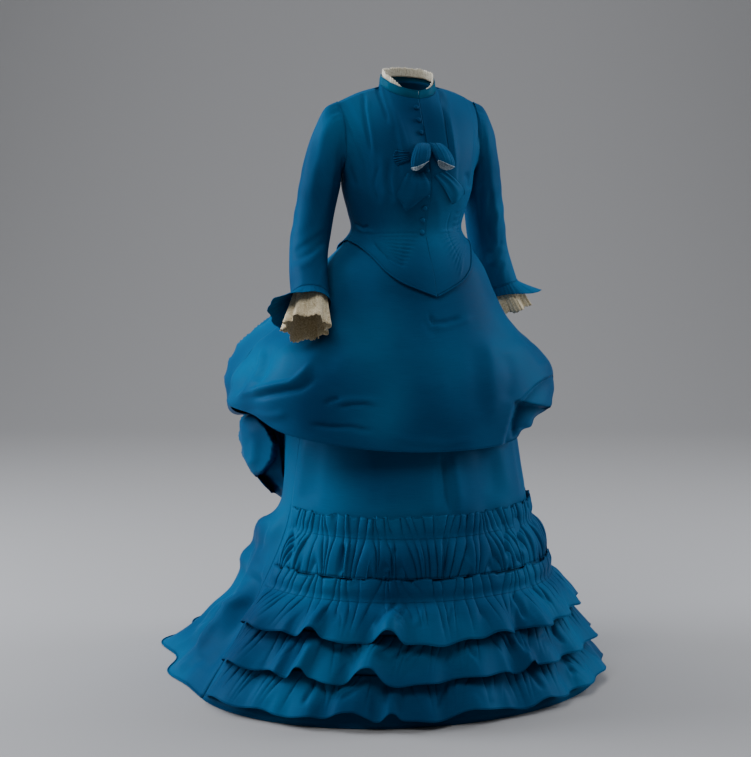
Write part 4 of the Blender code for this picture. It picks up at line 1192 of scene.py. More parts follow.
def loop_grid(side, rings, inset, sides):
    """Rings down one loop of the bow, whose lip drops more behind than in front."""
    rows = []
    angles = 2 * math.pi * np.arange(sides) / sides
    lip = np.where(np.cos(angles) > 0, LIP_FRONT, LIP_BACK)
    for share, x, height, half_width, half_depth in rings:
        centre, _ = on_front(side * x + KNOT_X + LOOP_SHIFT[side], height, LOOP_CLEAR + half_depth)
        across = side * (half_width - inset) * np.sin(angles)
        ahead = -(half_depth - inset) * np.cos(angles)
        drop = share**2 * lip * np.abs(np.cos(angles)) ** 1.3 - share**2 * LIP_TILT * np.sin(angles)
        rows.append(centre + np.stack([across, ahead, drop], -1))
    return np.array(rows)


def build_bow_loops():
    for side, word in ((-1, "right"), (1, "left")):
        grid = resample(loop_grid(side, LOOP_RINGS, 0.0, 96), 33, 0)
        middle = grid.mean(axis=1, keepdims=True)
        angles = np.linspace(0, 2 * math.pi, 96, endpoint=False)[None, :]
        share = np.linspace(0, 1, 33)[:, None]
        pinch = 0.0036 * (1 - share) + 0.0010
        out = pinch * (gathers(angles * 2.4, 61, 0.5) - 0.5) + 0.0009 * np.sin(3 * angles + 4 * share)
        grid = grid + unit(grid - middle) * out[..., None]
        name = "bow_loop_" + word
        cloth(name + "_silk", grid, BLUE, (name,), closed=True, inside=middle, held="folded")
        roll(name + "_edge", grid[-1], 0.0006, PALE, closed=True, sides=6)
        grid = resample(loop_grid(side, LOOP_RINGS[2:], FACING_INSET, 64), 17, 0)
        name = "bow_facing_" + word
        middle = grid.mean(axis=1, keepdims=True)
        cloth(name + "_silk", grid, PALE, (name,), closed=True, inside=middle, held="folded")


def build_tails():
    """The bow's two tails, a little bowed across and pinched under the knot."""
    for name, table in TAILS.items():
        rows = np.array([[on_front(t[k], t[k + 1], t[0])[0] for k in (1, 3, 5)] for t in table])
        grid = resample(resample(rows, 41, 0), 33, 1)
        share = np.linspace(0, 1, 41)[:, None]
        across = np.linspace(-1, 1, 33)[None, :]
        bow_out = 0.0020 * np.sin(across * 3.4 + 2.0 * share) * (0.4 + 0.6 * share)
        pinch = 0.0016 * (1 - share) ** 2 * np.cos(across * 9)
        grid = grid + np.array((0, -1.0, 0)) * (bow_out + pinch)[..., None]
        cloth(name + "_silk", grid, BLUE, (name,), held="hung")
        edge = np.concatenate([grid[:, 0], grid[-1, 1:], grid[::-1, -1][1:]])
        roll(name + "_edge", edge, 0.0005, BLUE, sides=6)


def build_gathered_bar():
    """The gathered silk that reaches from the knot to the dress's right."""
    rows = []
    for share in np.linspace(0, 1, 17):
        line = []
        for k in np.linspace(0, 1, 73):
            side_way = 2 * k - 1
            height = 1.1885 + (0.0085 + 0.0085 * share) * side_way - 0.004 * share
            fold = float(gathers(np.array(k * 6.0), 71, 0.5)) - 0.4
            swell = 0.0044 - 0.0026 * share + (0.0046 + 0.001 * share) * fold
            reach = 0.050 + (0.032 - 0.007 * side_way**2) * share
            line.append(on_front(-reach, height, max(swell, 0.0010))[0])
        rows.append(line)
    grid = np.array(rows)
    cloth("bow_gathers_silk", grid, BLUE, ("bow_gathers",), **FINE_GATHERED)


def build_knot():
    """The knot: a plump wrap with folds round it."""
    centre, _ = on_front(KNOT_X, KNOT_HEIGHT, KNOT_HALVES[1] + 0.0004)
    up = np.linspace(0.02, math.pi - 0.02, 33)[:, None]
    round_turn = np.linspace(0, 2 * math.pi, 64, endpoint=False)[None, :]
    wrap = 1 + 0.06 * np.sin(7 * np.cos(up) + 1.5 * np.sin(round_turn)) * np.sin(up)
    x = np.sin(up) * np.sin(round_turn) * wrap
    y = -np.sin(up) * np.cos(round_turn) * wrap
    grid = centre + np.stack([x, y, np.cos(up) + 0 * round_turn], -1) * KNOT_HALVES
    cloth("bow_knot_silk", grid, BLUE, ("bow_knot",), closed=True, inside=centre, **FINE_FOLDED)


build_buttons()
build_bow_loops()
build_tails()
build_gathered_bar()
build_knot()


# Skirts
TRAIN_FOLDS = 7
TRAIN_FOLD_DEPTH = 0.020
PLEAT_TURN = math.radians(20)
HEM_SWAY = -0.020
SWAY_HEIGHT = 0.35
UNDERSKIRT_TOP = 1.016

UNDERSKIRT_FOLDS = (
    (((443, 445), (446, 470), (449, 495), (453, 522)), 3.2, -7.0, 0.0),
    (((450, 445), (455, 480), (460, 522)), 5.0, 4.0, -0.5),
    (((434, 447), (433, 480), (436, 520)), 6.0, 2.0, 0.0),
    (((305, 432), (302, 465), (300, 500)), 5.0, 3.0, 0.0),
    (((320, 432), (316, 470), (314, 508)), 6.0, -1.6, 0.0),
    (((352, 432), (362, 440), (372, 450)), 5.0, 1.6, 0.0),
    (((372, 440), (371, 480), (370, 515)), 9.0, 1.6, 0.0),
    (((398, 445), (400, 480), (402, 518)), 9.0, -1.6, 0.0),
    (((500, 440), (505, 470), (509, 496)), 5.0, 2.4, 0.0),
    (((490, 445), (494, 480), (497, 503)), 6.0, -1.8, 0.0),
    (((478, 450), (481, 480), (484, 508)), 7.0, 1.4, 0.0),
)
TRAIN_PIXEL_FOLDS = (
    (((262, 524), (247, 540), (243, 556), (246, 570)), 9.0, 13.0, 0.0),
    (((277, 524), (268, 538), (257, 553)), 2.8, -10.0, 0.3),
    (((248, 556), (256, 564), (265, 571)), 3.0, -6.0, 0.0),
    (((238, 574), (250, 577), (262, 580)), 4.0, -8.0, 0.0),
    (((254, 588), (228, 606), (208, 630), (196, 654)), 5.0, 12.0, 0.5),
    (((264, 570), (254, 598), (240, 626), (228, 658), (222, 692)), 11.0, -36.0, 0.0),
    (((228, 604), (218, 618), (204, 627)), 3.0, -9.0, 0.0),
    (((240, 588), (214, 606), (188, 630)), 3.5, -7.0, 0.0),
    (((190, 655), (208, 663), (228, 678)), 3.0, -8.0, 0.3),
    (((207, 662), (222, 666), (236, 666)), 2.4, -5.0, 0.0),
    (((198, 656), (186, 664), (176, 668)), 4.0, 6.0, 0.0),
    (((205, 688), (222, 700), (242, 712)), 4.0, 3.0, 0.0),
)
TRAIN_BULGES = ((266, 527, 17, 32), (246, 552, 10, 8), (222, 612, 16, 10))
# The train falls straight below its shelf behind, where the form goes in a little
TRAIN_FILL = 0.036
SHELF_FOOT = 0.178
# Half the gap between front and train, as a turn, and each grid's columns and rows
SIDE_SEAM = 0.0010
FRONT_GRID = (131, 90)
TRAIN_GRID = (181, 112)


def underskirt_points(turn, height):
    """The underskirt, with one pressed pleat left of the front and soft folds in the train."""
    behind = (np.abs(turn) - QUARTER) / QUARTER
    spread = ease((0.40 - height) / 0.30) * ease(behind * 5)
    train = TRAIN_FOLD_DEPTH * spread * np.cos(2 * TRAIN_FOLDS * (np.abs(turn) - math.pi))
    near_hem = ease((height - 0.36) / 0.04) * ease((0.64 - height) / 0.04)
    pleat = -0.009 * np.exp(-(((turn - PLEAT_TURN) / math.radians(7)) ** 2)) * near_hem
    out = np.where(np.cos(turn) < 0, train, pleat)
    points = on_form(UNDERSKIRT_FORM, turn, height, out)
    points[..., 0] += HEM_SWAY * ease(1 - height / SWAY_HEIGHT)
    return points


def grid_of(turns, heights):
    """The turn and the height of every point of a grid whose rows go down the skirt."""
    return np.meshgrid(turns, heights)


def build_underskirt_front():
    edge = QUARTER - SIDE_SEAM
    columns, rows = FRONT_GRID
    turns, heights = grid_of(np.linspace(-edge, edge, columns), np.linspace(UNDERSKIRT_TOP, 0.0, rows))
    grid = underskirt_points(turns, heights)
    normals = faces_of(grid)
    out = creased(grid, normals, UNDERSKIRT_FOLDS)
    out = out + 0.0022 * drift(turns * 5 + 2, heights * 3, 81) * ease((1.0 - heights) / 0.3)
    hang = 0.0016 * np.sin(turns * 17 + 2.0 * np.sin(turns * 3)) * ease((0.62 - heights) / 0.2)
    grid = grid + normals * ((out + hang) * ease((heights - 0.40) / 0.06))[..., None]
    cloth("underskirt_front_silk", grid, BLUE, ("underskirt_front",), held="hung")
    roll("underskirt_hem", grid[-1] + SKYWARD * 0.0012, 0.0012, BLUE, sides=6)


def build_train():
    columns, rows = TRAIN_GRID
    across = np.linspace(QUARTER + SIDE_SEAM, 3 * QUARTER - SIDE_SEAM, columns)
    turns, heights = grid_of(across, np.linspace(UNDERSKIRT_TOP, 0.0, rows))
    turns = np.where(turns > math.pi, turns - 2 * math.pi, turns)
    grid = underskirt_points(turns, heights)
    normals = faces_of(grid)
    low = ease((0.44 - heights) / 0.14)
    edge_fade = ease((np.abs(turns) - QUARTER) / 0.12)
    out = creased(grid, normals, TRAIN_PIXEL_FOLDS) * edge_fade
    phase = TRAIN_FOLDS * 1.5 * np.abs(turns) + 1.2 * np.sin(3 * turns) + 2.2 * heights
    sharp = 1 - np.abs(np.sin(phase)) ** 0.8
    out = out + 0.010 * (sharp - 0.4) * low * edge_fade * ease(heights / 0.02 + 0.35)
    out = out + 0.0050 * drift(turns * 5 + 9, heights * 7, 83) * low * edge_fade
    gather = gathers(np.abs(turns) * 14, 85) * ease((heights - 0.86) / 0.12)
    out = out + 0.0012 * gather + bulges(grid, normals, TRAIN_BULGES) * edge_fade
    behind = ease((np.abs(turns) - 2.2) / 0.5)
    under_shelf = np.exp(-(((heights - SHELF_FOOT) / 0.052) ** 2))
    ground = ease(heights / 0.012)
    grid = grid + normals * (out * (0.25 + 0.75 * ground))[..., None]
    grid[..., 1] += TRAIN_FILL * under_shelf * behind
    grid[..., 2] = np.maximum(grid[..., 2], 0.0)
    cloth("underskirt_train_silk", grid, BLUE, ("underskirt_train",), held="draped")
    roll("train_hem", grid[-1] + SKYWARD * 0.0014, 0.0013, BLUE, sides=6)


# Flounces, gathered on the front of the underskirt
FLOUNCE_REACH = math.radians(88)
GATHER_OUT = 0.0025
FLOUNCE_DROOP = 0.0065
FLOUNCE_COLUMNS = 531
FLOUNCE_ROWS = 24
# How nearly the two walls of a gather meet, where 1 is touching, and how deep gathers are to the solids'
GATHER_PINCH = 0.86
GATHER_GROWTH = 1.6
# Broad waves that each flounce has as the solids have them, and the share of a flounce's stand at its ends
FORM_WAVES = 12
END_OUT = 0.18


def turn_at(pixel, height):
    """The front turn whose point of the underskirt at a height shows at a column of the photograph."""
    turns = np.linspace(-1.45, 1.05, 400)
    x, _ = in_photo(underskirt_points(turns, np.full(turns.shape, height)))
    return float(np.interp(pixel, x, turns))


def hem_waves(turns, height, waves):
    """Broad waves placed by the photograph's columns, each (pixel, half width in turn, out mm, lift mm)."""
    out = np.zeros(turns.shape)
    lift = np.zeros(turns.shape)
    for pixel, half_width, out_mm, lift_mm in waves:
        bell = np.exp(-(np.abs((turns - turn_at(pixel, height)) / half_width) ** 2.6))
        out += out_mm * 0.001 * bell
        lift += lift_mm * 0.001 * bell
    return out, lift


# For each flounce: its rows as (height, out, fine gathers, broad waves), its gathers in all, and waves
# placed one by one
FLOUNCES = {
    "flounce_top": (
        ((0.416, 0.0070, 0.0070, 0.10), (0.394, 0.0065, 0.0080, 0.10), (0.372, GATHER_OUT, 0.0024, 0.0),
         (0.352, 0.0085, 0.0090, 0.0), (0.330, 0.0115, 0.0105, 0.0), (0.308, 0.0095, 0.0095, 0.0),
         (0.290, 0.0050, 0.0060, 0.0)),
        52,
        (),
    ),
    "flounce_upper": (
        ((0.288, 0.0085, 0.0050, 0.05), (0.268, 0.0080, 0.0050, 0.05), (0.247, GATHER_OUT, 0.0022, 0.0),
         (0.226, 0.0150, 0.0060, 0.25), (0.205, 0.0250, 0.0030, 0.60), (0.184, 0.0330, 0.0010, 0.9),
         (0.163, 0.0380, 0.0, 1.15)),
        46,
        ((272, 0.10, 8, -2), (299, 0.045, -10, -2), (316, 0.050, 17, 20), (341, 0.08, 1, -6),
         (369, 0.045, -9, -4), (388, 0.060, 19, 22), (432, 0.17, 5, -9), (466, 0.06, -6, 2),
         (490, 0.07, 8, 5), (510, 0.045, -15, 5),
         (532, 0.07, 10, -2), (560, 0.08, -5, 4)),
    ),
    "flounce_middle": (
        ((0.180, GATHER_OUT, 0.0022, 0.0), (0.160, 0.0125, 0.0055, 0.3), (0.130, 0.0230, 0.0024, 0.7),
         (0.105, 0.0310, 0.0008, 0.95), (0.083, 0.0360, 0.0, 1.15)),
        50,
        ((248, 0.09, 8, -2), (272, 0.05, -8, 3), (289, 0.04, -9, -3), (303, 0.042, 16, 18),
         (330, 0.06, 0, -8),
         (346, 0.04, -9, -3), (365, 0.072, 19, 22), (408, 0.13, 4, -8), (446, 0.06, -6, 2), (480, 0.09, 6, 2),
         (508, 0.04, -12, -2), (521, 0.04, 13, 13), (556, 0.07, -6, 2), (580, 0.07, 8, -2)),
    ),
    "flounce_lower": (
        ((0.102, GATHER_OUT, 0.0022, 0.0), (0.080, 0.0105, 0.0050, 0.3), (0.056, 0.0180, 0.0024, 0.7),
         (0.034, 0.0240, 0.0008, 0.95), (0.012, 0.0280, 0.0, 1.0)),
        48,
        ((240, 0.08, 6, 0), (268, 0.05, -7, 2), (302, 0.06, 6, -3), (324, 0.045, -9, 0), (346, 0.075, 11, 15),
         (376, 0.03, -8, -3), (390, 0.036, 13, 15), (422, 0.08, 2, -6), (446, 0.05, -8, 0),
         (476, 0.11, 8, 10),
         (515, 0.05, -10, -2), (538, 0.06, 9, 4), (566, 0.06, -6, 2), (590, 0.06, 6, 0)),
    ),
}
# Folds that fan from the stitching, by the photograph's pixels
FLOUNCE_FOLDS = {
    "flounce_top": (
        (((294, 523), (291, 545), (286, 566)), 2.2, -9.0, 0.0),
        (((345, 540), (342, 560), (340, 575)), 1.8, -7.0, 0.0),
        (((445, 535), (446, 560), (444, 582)), 2.2, -9.0, 0.0),
        (((516, 512), (519, 530), (524, 553)), 2.4, -9.0, 0.0),
        (((503, 515), (506, 540), (508, 560)), 1.8, -7.0, 0.0),
        (((395, 545), (392, 562), (393, 580)), 1.8, -7.0, 0.0),
    ),
    "flounce_upper": (
        (((399, 601), (388, 612), (374, 626)), 2.4, -7.0, 0.0),
        (((408, 604), (401, 614), (394, 624)), 2.0, -5.0, 0.0),
        (((328, 604), (322, 615), (315, 626)), 2.2, -6.0, 0.0),
        (((452, 606), (450, 616), (448, 624)), 2.0, -5.0, 0.0),
        (((512, 592), (520, 604), (527, 620)), 2.6, -9.0, 0.0),
        (((424, 606), (420, 618), (412, 628)), 3.0, 3.0, 0.0),
        (((528, 584), (541, 594), (552, 604)), 2.6, -6.0, 0.0),
    ),
    "flounce_middle": (
        (((416, 638), (404, 650), (389, 664)), 2.6, -7.0, 0.0),
        (((424, 644), (414, 655), (404, 664)), 2.2, -5.0, 0.0),
        (((360, 640), (346, 646), (330, 652)), 2.2, -5.0, 0.0),
        (((466, 638), (470, 648), (476, 658)), 2.0, -5.0, 0.0),
        (((516, 630), (522, 642), (530, 652)), 2.6, -8.0, 0.0),
        (((452, 640), (452, 655), (448, 668)), 3.0, 3.0, 0.0),
        (((546, 618), (556, 634), (566, 645)), 2.4, -6.0, 0.0),
    ),
    "flounce_lower": (
        (((368, 676), (352, 692), (338, 700)), 2.4, -6.0, 0.0),
        (((318, 678), (308, 694), (302, 706)), 2.4, -6.0, 0.0),
        (((392, 672), (386, 690), (384, 704)), 2.4, -6.0, 0.0),
        (((450, 676), (444, 694), (438, 712)), 2.4, -5.0, 0.0),
        (((523, 660), (534, 676), (545, 690)), 2.6, -7.0, 0.0),
        (((560, 650), (568, 664), (576, 676)), 2.4, -6.0, 0.0),
        (((490, 672), (492, 690), (492, 704)), 3.0, 3.0, 0.0),
    ),
}


def flounce_grid(name, levels, count, waves, seed):
    """A gathered strip on the skirt: fine gathers fan from its stitching into wider waves at its hem."""
    levels = np.array(levels)[::-1]
    top, hem = levels[-1, 0], levels[0, 0]
    across = np.linspace(-FLOUNCE_REACH, FLOUNCE_REACH, FLOUNCE_COLUMNS)
    turns, heights = grid_of(across, np.linspace(top, hem, FLOUNCE_ROWS))
    base_out, fine, broad = (smooth_line(levels[:, 0], levels[:, k], heights) for k in (1, 2, 3))
    seam = min(levels, key=lambda level: level[1])[0]
    below = np.clip((seam - heights) / max(seam - hem, 1e-6), 0, 1)
    share = (turns + FLOUNCE_REACH) / (2 * FLOUNCE_REACH)
    place = share * count
    lean = wander(place * 0.35, seed + 2) * 26 + wander(place * 1.1, seed + 3) * 14
    skewed = place + lean * (heights - seam)
    fold = gathers(skewed, seed, 0.42) - 0.6
    phase = uneven(skewed, seed)
    rate = np.clip(np.gradient(phase, axis=1) / np.gradient(place, axis=1), 0.5, 4.0)
    pinch = GATHER_PINCH / (2 * math.pi) * np.sin(2 * math.pi * phase) / rate * np.clip(fine / 0.006, 0, 1)
    pinched = turns - pinch * 2 * FLOUNCE_REACH / count
    wide = gathers(skewed / 3.1 + 0.4 * wander(place / 5, seed + 4), seed + 6, 0.9) - 0.5
    merge = ease(below * 1.25)
    cad_wide = np.cos(2 * math.pi * FORM_WAVES * share + 0.9 * np.sin(3.1 * turns))
    wave_out, wave_lift = hem_waves(turns, hem, waves)
    out = base_out + fine * fold * GATHER_GROWTH + 0.0040 * merge * (1 - merge) * 4 * wide
    out = out + broad * (0.0045 * cad_wide + wave_out)
    droop = np.cos(2 * math.pi * FORM_WAVES * share + 2.0 + 1.7 * np.sin(2.3 * turns))
    rise = ease(broad) * (FLOUNCE_DROOP * 0.4 * droop + wave_lift)
    heading = ease((heights - seam) / max(top - seam, 1e-6)) if top - seam > 0.001 else 0 * heights
    rise = rise * (1 - heading) + heading * 0.0045 * wander(place * 1.3, seed + 8)
    out = out * (END_OUT + (1 - END_OUT) * ease((FLOUNCE_REACH - np.abs(turns)) / 0.09))
    base = underskirt_points(pinched, heights + rise)
    normals = faces_of(underskirt_points(turns, heights))
    sideways = np.cross(normals, SKYWARD)
    slide = 0.0022 * heading * wander(place * 1.7, seed + 9)
    grid = base + normals * np.maximum(out, 0.0012)[..., None] + sideways * slide[..., None]
    grid = grid + normals * creased(grid, normals, FLOUNCE_FOLDS[name])[..., None]
    grid[..., 2] = np.maximum(grid[..., 2], 0.0015)
    return grid, seam


def build_flounces():
    for order, (name, (levels, count, waves)) in enumerate(FLOUNCES.items()):
        grid, seam = flounce_grid(name, levels, count, waves, 101 + 20 * order)
        cloth(name + "_silk", grid, BLUE, (name,), on=("underskirt_front",), **FINE_GATHERED)
        roll(name + "_hem", grid[-1], 0.0007, BLUE, sides=5)
        if grid[0, 0, 2] - seam > 0.005:
            roll(name + "_heading_edge", grid[0], 0.0006, BLUE, sides=5)
            row = int(np.argmin(np.abs(np.linspace(levels[0][0], levels[-1][0], FLOUNCE_ROWS) - seam)))
            line = grid[row, ::2] + faces_of(grid)[row, ::2] * 0.0006
            roll(name + "_gather_thread", line, 0.0006, BLUE, sides=5)


build_underskirt_front()
build_train()
build_flounces()

# Overskirt: the apron reaches round to APRON_REACH, where the puffs behind take over
APRON_REACH = math.radians(108)
APRON_TURNS = (-108, -90, -78, -50, -20, 0, 30, 48, 62, 78, 90, 108)
APRON_HEMS = (0.640, 0.624, 0.606, 0.580, 0.562, 0.558, 0.566, 0.590, 0.640, 0.672, 0.672, 0.660)
DRAPE_TOP = 1.016
DRAPE_LOW = 0.700
DRAPE_COLUMNS = 201
APRON_UPPER_ROWS = 72
APRON_LOWER_ROWS = 41
WAIST_HUG = 0.0022
# The apron's side edges sink on to the puff over the last part of its turn
EDGE_SINK = 0.0035
EDGE_TURN = 0.05
APRON_FOLDS = (
    (((244, 398), (262, 388), (291, 382), (304, 373), (313, 361)), 3.6, 9.5, 0.6),
    (((250, 399), (276, 393), (300, 388), (318, 376)), 3.6, -8.0, 0.0),
    (((243, 402), (252, 385), (258, 366), (262, 345)), 3.0, 9.0, 0.5),
    (((256, 384), (264, 364), (270, 345)), 3.4, -7.5, 0.0),
    (((240, 398), (245, 380), (252, 364)), 3.4, -4.5, 0.0),
    (((334, 326), (322, 345), (308, 364), (298, 380)), 8.0, 4.0, 0.4),
    (((345, 335), (334, 352), (324, 372)), 8.0, -3.0, 0.0),
    (((324, 404), (331, 400), (340, 398)), 2.0, -5.0, 0.0),
    (((336, 408), (350, 405), (366, 404), (378, 409)), 2.0, -5.5, 0.0),
    (((334, 403), (350, 400), (368, 400), (382, 405)), 3.4, 2.6, 0.0),
    (((308, 424), (330, 427), (350, 427), (376, 432)), 2.4, -6.0, 0.0),
    (((236, 408), (250, 414), (268, 417), (290, 414)), 4.5, 3.0, 0.0),
    (((330, 262), (328, 285), (326, 306)), 7.0, -4.0, 0.0),
    (((352, 262), (350, 292), (346, 322)), 9.0, 2.5, 0.0),
    (((428, 312), (434, 323), (446, 322), (462, 317)), 2.0, -5.5, 0.0),
    (((432, 327), (446, 327), (464, 321), (474, 316)), 2.8, 2.4, 0.0),
    (((424, 318), (430, 330), (440, 334)), 4.0, -1.8, 0.0),
    (((392, 292), (398, 320), (402, 352)), 10.0, 1.8, 0.0),
    (((372, 300), (374, 330), (372, 362)), 10.0, -1.8, 0.0),
    (((486, 330), (491, 362), (494, 400), (492, 430)), 7.0, 2.6, 0.0),
    (((472, 340), (476, 375), (478, 420)), 8.0, -2.0, 0.0),
    (((520, 330), (534, 348), (546, 366)), 4.0, -5.0, 0.0),
    (((530, 338), (542, 352), (552, 372)), 4.0, 4.0, 0.0),
    (((505, 350), (511, 375), (508, 405)), 7.0, -3.0, 0.0),
    (((410, 380), (430, 386), (452, 384)), 8.0, 1.2, 0.0),
    (((380, 432), (410, 441), (445, 444), (480, 438)), 4.0, 1.6, 0.0),
)

# The right corner turns under itself in two facets, and the left corner is pulled out to a point
APRON_TUCKS = (
    (((562, 370), (543, 379), (535, 385), (520, 401), (512, 423), (512, 440)), 14.0, 34.0),
    (((556, 410), (549, 408), (522, 402), (514, 400)), 0, 46.0),
)
APRON_PULLS = ((549, 425, 12, -11, -5), (530, 436, 9, -5, -5), (557, 398, 8, -3, 0))
CORNER_BULGES = ((239, 403, 12, 26), (228, 382, 9, 5))

# The upper puff follows the overskirt's form, then rolls under itself: scale shrinks it to (0, centre)
# Columns: height, form, scale, centre, swag, tuck
UPPER_PUFF = (
    (1.016, 1.016, 1.0, 0.0, 0.0, 0.0015),
    (0.985, 0.985, 1.0, 0.0, 0.0, 0.0041),
    (0.950, 0.950, 1.0, 0.0, 0.0, 0.0060),
    (0.915, 0.915, 1.0, 0.0, 0.0, 0.0060),
    (0.880, 0.880, 1.0, 0.0, 0.1, 0.0060),
    (0.845, 0.845, 1.0, 0.0, 0.3, 0.0060),
    (0.810, 0.810, 1.0, 0.0, 0.6, 0.0060),
    (0.785, 0.785, 1.0, 0.0, 0.8, 0.0060),
    (0.760, 0.760, 1.0, 0.0, 1.0, 0.0060),
    (0.730, 0.730, 1.0, 0.0, 1.0, 0.0060),
    (0.700, 0.700, 1.0, 0.0, 0.9, 0.0060),
    (0.648, 0.650, 0.99, 0.05, 0.7, 0.0060),
    (0.612, 0.620, 0.94, 0.10, 0.5, 0.0060),
    (0.594, 0.600, 0.86, 0.12, 0.3, 0.0060),
)
LOWER_PUFF = (
    (0.612, 0.600, 0.78, 0.04, 0.2, 0.0112),
    (0.575, 0.600, 0.88, 0.04, 0.7, 0.0392),
    (0.525, 0.600, 0.91, 0.04, 1.0, 0.0560),
    (0.475, 0.600, 0.89, 0.04, 1.0, 0.0560),
    (0.436, 0.600, 0.83, 0.04, 0.6, 0.0336),
    (0.416, 0.600, 0.78, 0.03, 0.283, 0.0158),
)
LOWER_REACH = math.radians(102)
LAP_TURN = math.radians(1.5)
PUFF_STEPS = 16
SWAGS = 3
SWAG_DEPTH = 0.036
SWAG_LIFT = 0.3
UPPER_PUFF_FOLDS = (
    (((226, 375), (228, 395), (234, 412)), 5.0, 4.0, 0.0),
    (((540, 384), (524, 400), (513, 428)), 5.0, -5.0, 0.0),
    (((552, 384), (545, 396), (532, 410), (518, 424)), 5.0, 4.0, 0.3),
)
LOWER_PUFF_FOLDS = (
    (((250, 424), (256, 440), (254, 458), (248, 470)), 5.0, 5.0, 0.0),
    (((252, 474), (262, 480), (274, 490)), 4.0, -6.0, 0.0),
)
# The flap's edge, with the hollow between it and the skirt
LOWER_PUFF_TUCKS = ((((254, 414), (266, 428), (274, 444), (272, 460), (262, 472), (248, 482)), 0, 90.0),)
LOWER_PUFF_BULGES = ((241, 424, 14, 10),)
LOWER_PUFF_PULLS = ((278, 492, 13, 10, 11),)


def build_apron():
    turns = np.linspace(-APRON_REACH, APRON_REACH, DRAPE_COLUMNS)
    hem = smooth_line(APRON_TURNS, APRON_HEMS, np.degrees(turns))
    upper = np.linspace(DRAPE_TOP, DRAPE_LOW, APRON_UPPER_ROWS)
    share = np.linspace(0, 1, APRON_LOWER_ROWS)[1:, None]
    lower = DRAPE_LOW + (hem[None, :] - DRAPE_LOW) * share
    heights = np.concatenate([np.repeat(upper[:, None], len(turns), 1), lower])
    turns = np.broadcast_to(turns, heights.shape)
    hug = WAIST_HUG * np.clip((heights - 0.985) / (DRAPE_TOP - 0.985), 0, 1)
    grid = on_form(OVERSKIRT_FORM, turns, heights, hug)
    normals = faces_of(grid)
    clear = ease((0.985 - heights) / 0.10)
    out = creased(grid, normals, APRON_FOLDS)
    out = out + 0.0030 * drift(turns * 3 + 4, heights * 7, 91)
    side = ease((np.abs(turns) - 0.9) / 0.5)
    swags = np.sin(heights * 62 + 2.2 * np.abs(turns) + 1.3 * np.sin(turns * 4))
    out = out + 0.0035 * side * swags * ease((0.84 - heights) / 0.08)
    out = out * clear + bulges(grid, normals, CORNER_BULGES)
    out = out - EDGE_SINK * ease((np.abs(turns) - APRON_REACH + EDGE_TURN) / EDGE_TURN) * clear
    moves = turned_back(grid, normals, APRON_TUCKS) + pulled(grid, APRON_PULLS)
    grid = grid + normals * out[..., None] + moves
    edge = grid[-1] + normals[-1] * -0.0012 + SKYWARD * 0.0016
    grid = np.concatenate([grid, (grid[-1] - SKYWARD * 0.0008 - normals[-1] * 0.0016)[None], edge[None]])
    cloth("apron_silk", grid, BLUE, ("overskirt_apron",), held="draped", on=("overskirt_puff_upper",))
    roll("apron_hem", grid[-3], 0.0009, BLUE, sides=6)


def puff_points(table, reach, rows, columns):
    """Rows behind the wearer, drawn into swags by tapes down the back, with both side edges tucked in."""
    table = np.array(table)
    index = np.linspace(0, len(table) - 1, rows)
    knots = np.arange(len(table))
    columns_of = (smooth_line(knots, table[:, k], index)[:, None] for k in range(6))
    height, form, scale, centre, swag, tuck = columns_of
    share = np.linspace(0, 1, columns)[None, :]
    turn = reach + (2 * math.pi - 2 * reach) * share
    drawn = np.abs(np.sin(SWAGS * math.pi * share)) - 0.5
    out = SWAG_DEPTH * swag * drawn * np.sqrt(np.sin(math.pi * share).clip(0, 1))
    edge = np.clip(1 - PUFF_STEPS * 0.62 * np.minimum(share, 1 - share), 0, 1)
    out = out - tuck * edge**1.3
    height = height + 0 * share
    points = on_form(OVERSKIRT_FORM, turn + 0 * height, form + 0 * share, out)
    points[..., 0] *= scale
    points[..., 1] = centre + (points[..., 1] - centre) * scale
    points[..., 2] = height - SWAG_LIFT * out
    return points, share + 0 * height, height


def build_puffs():
    upper = (UPPER_PUFF, APRON_REACH - LAP_TURN, (0, 0.1, 0.75), 99, 93)
    upper_moves = (UPPER_PUFF_FOLDS, CORNER_BULGES, (), ())
    lower = (LOWER_PUFF, LOWER_REACH, (0, 0.1, 0.52), 63, 95)
    lower_moves = (LOWER_PUFF_FOLDS, LOWER_PUFF_BULGES, LOWER_PUFF_TUCKS, LOWER_PUFF_PULLS)
    for name, (table, reach, inside, rows, seed), (folds, swells, tucks, pulls) in (
        ("overskirt_puff_upper", upper, upper_moves),
        ("overskirt_puff_lower", lower, lower_moves),
    ):
        grid, share, height = puff_points(table, reach, rows, DRAPE_COLUMNS)
        inside = np.array(inside)
        normals = faces_of(grid, inside=inside)
        swag = np.abs(np.sin(SWAGS * math.pi * share))
        fall = height + 0.055 * swag + 0.006 * wander(share * 9, seed)
        low = ease((0.96 - height) / 0.12)
        edges = ease((np.minimum(share, 1 - share) - 0.07) / 0.16)
        draped = 1 - np.abs(np.sin(fall * 88 + 1.5 * np.sin(share * 14))) ** 0.7
        out = 0.0105 * (draped - 0.35) * low * edges * (0.25 + 0.75 * swag)
        tapes = gathers(share * 54, seed + 1) * (1 - swag) ** 2
        out = out + 0.0050 * tapes * low * edges
        out = out + 0.0035 * drift(share * 16, height * 10, seed + 2) * low * edges
        out = out + 0.0016 * (gathers(share * 62, seed + 3) - 0.5) * ease((height - 0.95) / 0.05)
        out = out + creased(grid, normals, folds) + bulges(grid, normals, swells)
        grid = grid + normals * out[..., None] + turned_back(grid, normals, tucks) + pulled(grid, pulls)
        cloth(name + "_silk", grid, BLUE, (name,), inside=inside, held="draped", on=("underskirt_train",))
        roll(name + "_hem", grid[-1], 0.0009, BLUE, sides=6)


build_apron()
build_puffs()


